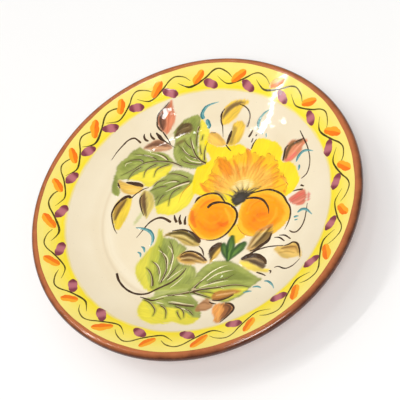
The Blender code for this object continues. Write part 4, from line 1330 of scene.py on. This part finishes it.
DARK = brush_material("stem_brown", ink(54, 34, 22), ink(112, 82, 52), 0.4, 0.35)
STEMS = [
    [(-67.6, 44.7, .3), (-64, 51, .6), (-60, 56.2, .8), (-56.5, 60, .9), (-53, 61.8, 1),
     (-50.6, 61.3, 1.1), (-47, 58.2, 1.3)],
    [(-44.7, 65.3, .4), (-45, 63, 1.2), (-43.8, 60.6, 1.5), (-41.4, 59.6, .9)],
    [(-40.4, 66, .4), (-40, 63.5, 1.2), (-38.4, 61.6, 1.5), (-36.8, 60.6, 1)],
    [(-36.4, 65.8, .8), (-34, 63, 2.1), (-32, 60.6, 1.9), (-28.8, 58.2, .9), (-25, 55.3, .5),
     (-21, 52.4, .3)],
    [(-31.5, 66.2, 1), (-28.8, 62.4, .9), (-26.2, 58.2, .8), (-25, 55.3, .5)],
    [(-50, 14, 1), (-46.5, 17.4, .8), (-41.8, 20.3, .8), (-37.6, 21.5, .5)],
    [(-42.4, -18.2, .3), (-38.2, -12.4, .7), (-34.7, -7.6, 1.0), (-30.6, -4.7, 1.2),
     (-26.5, -3.8, 1.4), (-22.4, -5.3, 1.6), (-18.2, -8.2, 1.3)],
    [(-16.5, -2.4, .5), (-15.6, -5.9, 1.5), (-14, -8.8, 1.7)],
    [(-12, -2.6, .5), (-12.4, -6.5, 1.5), (-10.9, -10.6, 1.7)],
    [(-7.9, -4, .5), (-8.4, -7.6, 1.4), (-7.9, -11.2, 1.5)],
    [(-52.9, -44.4, 1.5), (-50.6, -50, 1.3), (-47, -54.7, 1.2), (-42.9, -58.2, 1.2),
     (-38.2, -60.6, 1.2), (-33.5, -61.5, 1.2), (-28.8, -60.9, 1.1), (-24.7, -58.8, 1.1),
     (-20, -56.5, 1.1), (-14, -53.8, 1.1), (-8.8, -50, 1.0), (-5.3, -45.9, .8), (-4, -43.5, .5)],
    [(-33.8, -63.5, .5), (-29.4, -65, .9), (-25.3, -66.5, 1), (-21.2, -65.9, .8),
     (-17, -65.3, .4)],
    [(70.3, 51.5, .5), (72.9, 45.3, .9), (75.3, 39.4, .8), (76.8, 33.5, .7), (77.4, 27.6, .7),
     (76.5, 21.8, .8), (74.7, 18.2, .9), (71.2, 15.9, .5)],
    [(70.9, 11.2, 1.2), (73.5, 9.7, .8)],
    [(65.3, 7.4, .5), (68.8, 7.9, 1.1), (72.9, 7.6, 1)],
    [(76.2, -3.5, .4), (75.6, -10, .7), (74.7, -16, .8), (72.9, -20.6, .9), (70, -23.8, 1),
     (67, -23.8, 1), (64.4, -22, .6)],
    [(54.4, -25.9, .5), (58.2, -26.5, 1), (61.8, -29.7, .8)],
    [(57.6, -24.7, .5), (61.8, -25.3, 1), (65.9, -28.8, .8)],
    [(32.9, -40.3, 1.6), (36.5, -38.5, 1.4), (40.6, -35.6, 1.1), (44.7, -33.8, .9),
     (50, -32.6, .8), (54.7, -32.4, .8), (61.2, -32.9, .6)],
    [(44, -50.6, .8), (48.2, -52.6, 1), (50.9, -54.4, .5)],
    [(52.4, -50.6, .5), (54, -51.2, 1), (53.5, -53.2, .6)],
    [(55.9, -48.8, .5), (58.8, -48.5, .8), (62.4, -50.6, .9), (65.3, -51.2, .9),
     (69.4, -49.7, .8), (73.5, -45.9, .4)],
    [(3.2, -27.9, .6), (5.6, -30.6, .9), (6.8, -33.5, .9), (7.4, -35.9, .5)],
    [(14, -70, .7), (17, -71.5, .9), (19.4, -72, .5)],
    [(35.6, 60, .5), (34.2, 57.2, 1.2), (32.4, 54.4, 1.3)],
    [(37.6, 55.5, 1.2), (38.6, 55.1, 1.4)],
    [(35.9, 53.5, .6), (34.7, 50, .9)],
    [(38.5, 52.6, .4), (36.2, 48.8, .9), (34.8, 44.7, .8)],
    [(16.2, 50.6, .6), (18.2, 47.6, .9), (20.6, 44.7, .4)],
    [(4, 62, .4), (8.2, 61.5, .6)]]
painted("dark_stems", STEMS, DARK, weight=1.4)


# ---------------------------------------------------------------------------------------------
# The dark veins of the leaves.
# The same brown, thinned, drawn into each leaf from its midrib outwards over the wet green.  One
# side of each line is pale, where the leaning brush pushed the green away from the cream.

vein_brown = brush_material("vein_brown", ink(66, 46, 28), ink(122, 98, 58), 0.5, 0.4,
                            beside=ink(202, 184, 140))
painted("leaf_veins", VEINS, vein_brown, 0.0, 0.04 * MM, 1.65)


# ---------------------------------------------------------------------------------------------
# The scratched veins.
# Beside the dark ones run pale veins, scratched through the wet green with the end of the brush,
# so that the cream glaze shows in them.

SCRATCHES = [
    [(-.6, 37.6, .9), (-8.2, 40, .8), (-13.5, 44.7, .4)],
    [(-4.7, 41.2, .9), (-11.8, 46.5, .8), (-16.5, 53.5, .4)],
    [(-6.8, 50, .8), (-8.5, 54.7, .7), (-9.5, 59, .3)],
    [(-26.5, 43, .9), (-32.4, 47.4, .9), (-40.6, 50.6, .4)],
    [(-35.3, 45, .9), (-40.6, 47.9, .9), (-45.3, 48.8, .7), (-52.4, 48.8, .3)],
    [(-57.6, 40, .5), (-56.5, 42.4, .7), (-52.4, 43.5, .4)],
    [(-8, 22.2, 1), (-17, 20, 1), (-25, 16.5, .5)],
    [(-17, 24, .8), (-22, 24.2, .8), (-27.6, 22.9, .4)],
    [(-25.3, -28.8, .4), (-21.2, -31.8, .8), (-18.2, -35.3, .9), (-17.4, -40, .9),
     (-18.2, -45.9, .9), (-21.2, -53, .6)],
    [(-18.8, -25.9, .4), (-15.9, -29.4, .8), (-14, -34.7, .9), (-14.4, -40, .9),
     (-15.9, -46.5, .9), (-20, -52.4, .6)],
    [(-27, -37.6, .4), (-24, -40.6, .8), (-22, -45.9, .9), (-22.4, -52.4, .6)],
    [(-16.8, -52, .6), (-11.2, -47.6, .8), (-5.9, -44, .4)],
    [(-14, -57.4, .6), (-9.4, -54, .8), (-5.3, -50, .4)],
    [(3.5, -58.2, .7), (7.6, -53.5, .9), (13.5, -48.2, .9), (19.4, -45, .8), (24.7, -43.5, .3)],
    [(10.9, -54, .6), (17, -50, .9), (22.9, -48.2, .8), (28.8, -47.6, .3)],
    [(5.9, -58.8, .6), (11.8, -57, .9), (19.4, -55.6, .8), (26.5, -54.7, .3)],
    [(17.6, -58.2, .5), (23.5, -60.6, .5)],
    [(-23.5, -65.9, .5), (-18.8, -64, .8), (-12.9, -63.2, .9), (-5.9, -63.5, .9),
     (-1.2, -64.7, .5)],
    [(-22.4, -67.6, .5), (-19.6, -68.6, .8), (-16.5, -69.4, .5)],
    [(-14, -68.2, .5), (-9.4, -68.5, .9), (-2.4, -70.3, .9), (4.7, -71.5, .5)],
    [(-7, -72.4, .5), (-1.2, -74.7, .8), (2.4, -77, .4)]]
scratch_cream = brush_material("scratched_cream", ink(240, 226, 186), ink(206, 206, 140), 0.5, 0.3)
painted("scratched_veins", SCRATCHES, scratch_cream, 0.0, 0.035 * MM, 1.3)


# ---------------------------------------------------------------------------------------------
# The outlines of the fruits and the dark edges of the buds.
# The boldest lines on the plate: the liner was pressed hard at each start and drawn round the
# fruit in one go.  Where it skirts the bottom of a fruit it is a thin rust line.

OUTLINES = [
    [(-1.8, 6.5, .5), (.6, 9.4, .9), (4, 11.2, 1.1), (8.8, 12, 1.2), (12.9, 11.2, 1.2),
     (15.9, 8.8, 1.1), (18.2, 5.3, .9), (20.3, 2.4, .5)],
    [(6.8, .6, 1.4), (9.7, 3.5, 1.8), (14, 4.4, 1.4), (18.2, 3.8, 1.2), (21.8, 2.4, 1.2),
     (24.7, 0, 1.2), (26.8, -2.4, 1.2), (28.2, -6.5, 1.3), (27.6, -11.2, 1.3),
     (25.3, -15.9, 1.2), (21.8, -20.3, 1.1), (17.6, -23.2, 1), (12.9, -24.4, .8), (7.6, -24, .3)],
    [(36.5, 8.8, .5), (41.2, 10, .9), (47, 10.9, 1.1), (51.2, 10.3, 1.2), (55.9, 7.9, 1.2),
     (59.4, 4.7, 1.2), (61.8, 0, 1.1), (63.8, -3.5, 1), (64.7, -7.6, 1), (64.4, -12.4, .9),
     (63.2, -16.5, .7), (61.2, -21.2, .3)],
    [(33.5, 5.3, 1), (37.6, 5.6, 1.3), (41.8, 5, 1.4), (45.3, 3.2, 1.3), (47.6, .3, 1.2),
     (49.4, -3.5, .9), (50, -7.9, .4)],
    [(-36.2, 74, .3), (-35.6, 71, .9), (-34, 68.4, 1.1), (-31.6, 66.2, .9)],
    [(-26.2, 87.4, .4), (-30, 83.6, .7), (-34.4, 79.4, .9), (-35.6, 75.2, .9), (-35, 71.4, .6)],
    [(-55.6, 27.4, .8), (-50.6, 26.2, 2.2), (-44.7, 24.4, 2.4), (-42, 22.6, 1.2)],
    [(-61.6, 27.6, .5), (-60.5, 24.7, 1.2), (-59.4, 22.8, .7)],
    [(-50, 14, 1.4), (-52.4, 15.7, 2.0), (-55.9, 14.5, 1.8), (-60, 10.6, 1.3), (-62.4, 5.9, 1.1),
     (-62.9, .6, .9), (-60, -8.8, .7), (-57, -13.8, .3)],
    [(-42, 16, .5), (-43.3, 12, .9), (-41.6, 5, .8), (-39, -1, .4)],
    [(14.7, 79, .5), (12.4, 75.9, 1.1), (11.8, 72.4, 1.2), (11.9, 69.4, 1), (12.9, 66.5, .8),
     (13.4, 61.6, .5), (13.8, 57, .3)],
    [(25.9, 80, .4), (29.4, 78.2, .7), (32.4, 74.7, .8), (33.4, 70.6, .8), (32.6, 66.5, .9),
     (31, 62.4, 1.5)],
    [(20, 61.8, .8), (18.4, 56.5, 1.9), (17, 50.6, 1.0)],
    [(57.9, 32, .8), (58.8, 37, 1.2), (59.7, 41.2, 1.2), (61.8, 43.5, .7)],
    [(65.3, 43.5, .5), (69.4, 44.6, .9), (73.5, 44.9, .6)],
    [(52.6, -22.5, .8), (50.6, -27.6, 1.5), (45.9, -31.2, 1.8), (42.4, -33.5, 1.2),
     (38.6, -34.6, .6)],
    [(33.5, -39.9, 1.6), (37.5, -38.2, 2.4), (42.2, -37.8, 2.4), (46.2, -39.4, 2.2),
     (49, -42, 1.8), (50.2, -45.6, 1)],
    [(61.2, -33.2, .5), (64.7, -32.6, .9), (67.6, -31.5, 1), (70.6, -33.2, 1.1),
     (72.4, -37.6, 1.1), (73.5, -44.7, .4)],
    [(10.8, -33.4, 1.2), (13.2, -29.8, 1.9), (17, -27.6, 1.8), (19.2, -28.4, 1.2)],
    [(-17, -15, .5), (-10, -14.6, 1.0), (-4.6, -16.4, 1.3), (-.6, -19.4, 1.7), (2.4, -23, 2.2),
     (3.6, -25.8, 1.8)],
    [(-9, -33.6, .4), (-5, -31.6, .9), (0, -32, 1.1), (5, -34.8, 1.3), (9.6, -39.6, 1.0)],
    [(15.9, -68.8, .6), (20.6, -69.4, 1), (25.9, -68.2, 1.1), (30.6, -65.9, .5)],
    [(25, -71.8, .6), (29, -72.8, 1), (31.8, -75.9, 1.2), (31.6, -79, 1.3), (28.6, -83.4, 1.1),
     (24.6, -88, .6)],
    [(1.2, 10.6, .4), (-1, 9, .8), (-2.6, 5.2, .6)]]
painted("bold_outlines", OUTLINES, DARK, 0.0, 0.065 * MM, 1.4)

RUST = brush_material("rust_line", ink(196, 104, 30), ink(238, 160, 50), 0.7, 0.4)
fan_line = [(x, y, 0.45 + 0.3 * math.sin(0.8 * number))
            for number, (x, y) in enumerate(FAN_EDGE[4:-4:2])]
RUST_LINES = [
    [(-5.6, -10, .5), (-3.5, -14, .8), (0, -18.2, .9), (4, -22.4, .9), (9.4, -24, .5)],
    [(28.8, -14, .4), (30.6, -18.2, .7), (34, -21.8, .7), (40, -24, .3)],
    [(-7, 20.6, .8), (-10.6, 17, .7), (-12.9, 12.9, .6), (-14.4, 6.5, .3)],
    fan_line[:34], fan_line[36:62], fan_line[64:92], fan_line[94:]]
painted("rust_lines", RUST_LINES, RUST, 0.0, 0.04 * MM)


# ---------------------------------------------------------------------------------------------
# The rays of the flower's heart.
# Slate grey, the flower's last colour: six short flicks up out of its dark heart into the yellow
# petals, each fading as it goes.

RAYS = [
    [(27, 9.8, 1.6), (24.6, 12.4, .9), (21.8, 14.2, .3)],
    [(28.6, 10.8, 1.6), (27.4, 13.6, .9), (25.4, 16.2, .3)],
    [(30.6, 11.4, 1.5), (31, 14.2, .8), (30.4, 17.2, .3)],
    [(32.6, 10.6, 1.5), (34.4, 13, .8), (35.2, 15.8, .3)],
    [(34.6, 10.4, 1.5), (38.6, 12.6, .9), (43.2, 14.6, .3)],
    [(24.4, 7.4, 1.4), (21.4, 9.4, .8), (17.8, 10.6, .3)]]
slate_paint = brush_material("slate_grey", ink(74, 66, 62), ink(206, 170, 100), 0.5, 0.95)
painted("heart_rays", RAYS, slate_paint, 0.0, 0.04 * MM)


# ---------------------------------------------------------------------------------------------
# The turquoise tendrils.
# Copper turquoise, the last colour on: curled tendrils with ticks, thick at the start of each
# stroke and pale where the brush ran dry.

TENDRILS = [
    [(-1.2, 73.2, 2.2), (-2.4, 77, 2.5), (0, 81.2, 1.8), (4, 83.2, 1.1), (10.5, 84.2, .4)],
    [(1.0, 73, 1.4), (1.8, 70.8, 2.8), (3.0, 67.8, 2.6), (2.4, 65.4, 1.3)],
    [(40, 59.7, .6), (39.4, 63.5, 1.8), (41.2, 67.6, 1.6), (44.7, 70.6, 1.1), (49.4, 72, .4)],
    [(42, 56.1, 1.4), (42.9, 55.7, 1.2)],
    [(45.3, 55.5, 1.1), (45.4, 52.4, .7)],
    [(67.4, 29.4, .8), (69.4, 33.5, 1.8), (72.4, 35.9, 1.6), (75.9, 35.6, 1.2), (80, 33.8, .4)],
    [(69.7, 27, 1), (69.6, 24.6, 1.3), (69, 22.4, .6)],
    [(69.4, -9.4, .8), (72.4, -7.6, 1.8), (75.3, -8.2, 1.5), (78.2, -11.2, 1), (80, -13.5, .4)],
    [(67, -12.4, 1), (68.8, -12.2, 1.3), (70.6, -12.2, .6)],
    [(67.6, -14.7, .9), (70, -14.7, .9)],
    [(-43.8, -10, .6), (-37.6, -11.5, 1.6), (-32.9, -14, 2.1), (-30.3, -18.2, 2.0),
     (-30.3, -22.9, 1.3), (-31.5, -25.3, .5)],
    [(-38.2, -25, .6), (-35.9, -26.5, 1.4), (-35, -30, .8)],
    [(-40.3, -29, .6), (-37.9, -30.6, 1.3), (-37.6, -33.5, .7)],
    [(36.5, -65.3, .6), (40, -64.7, 1.2), (42.6, -65, .6)],
    [(42.4, -61.8, .6), (45.9, -61.8, 1.3), (48.8, -63.5, .6)],
    [(50, -58.2, .6), (52.9, -59, 1.3), (55.9, -62, 1.1), (57.9, -65.9, .4)]]
turquoise = brush_material("turquoise", ink(76, 146, 152), ink(150, 194, 190), 0.8, 0.55,
                           beside=ink(52, 118, 124))
painted("turquoise_tendrils", TENDRILS, turquoise, weight=1.35)
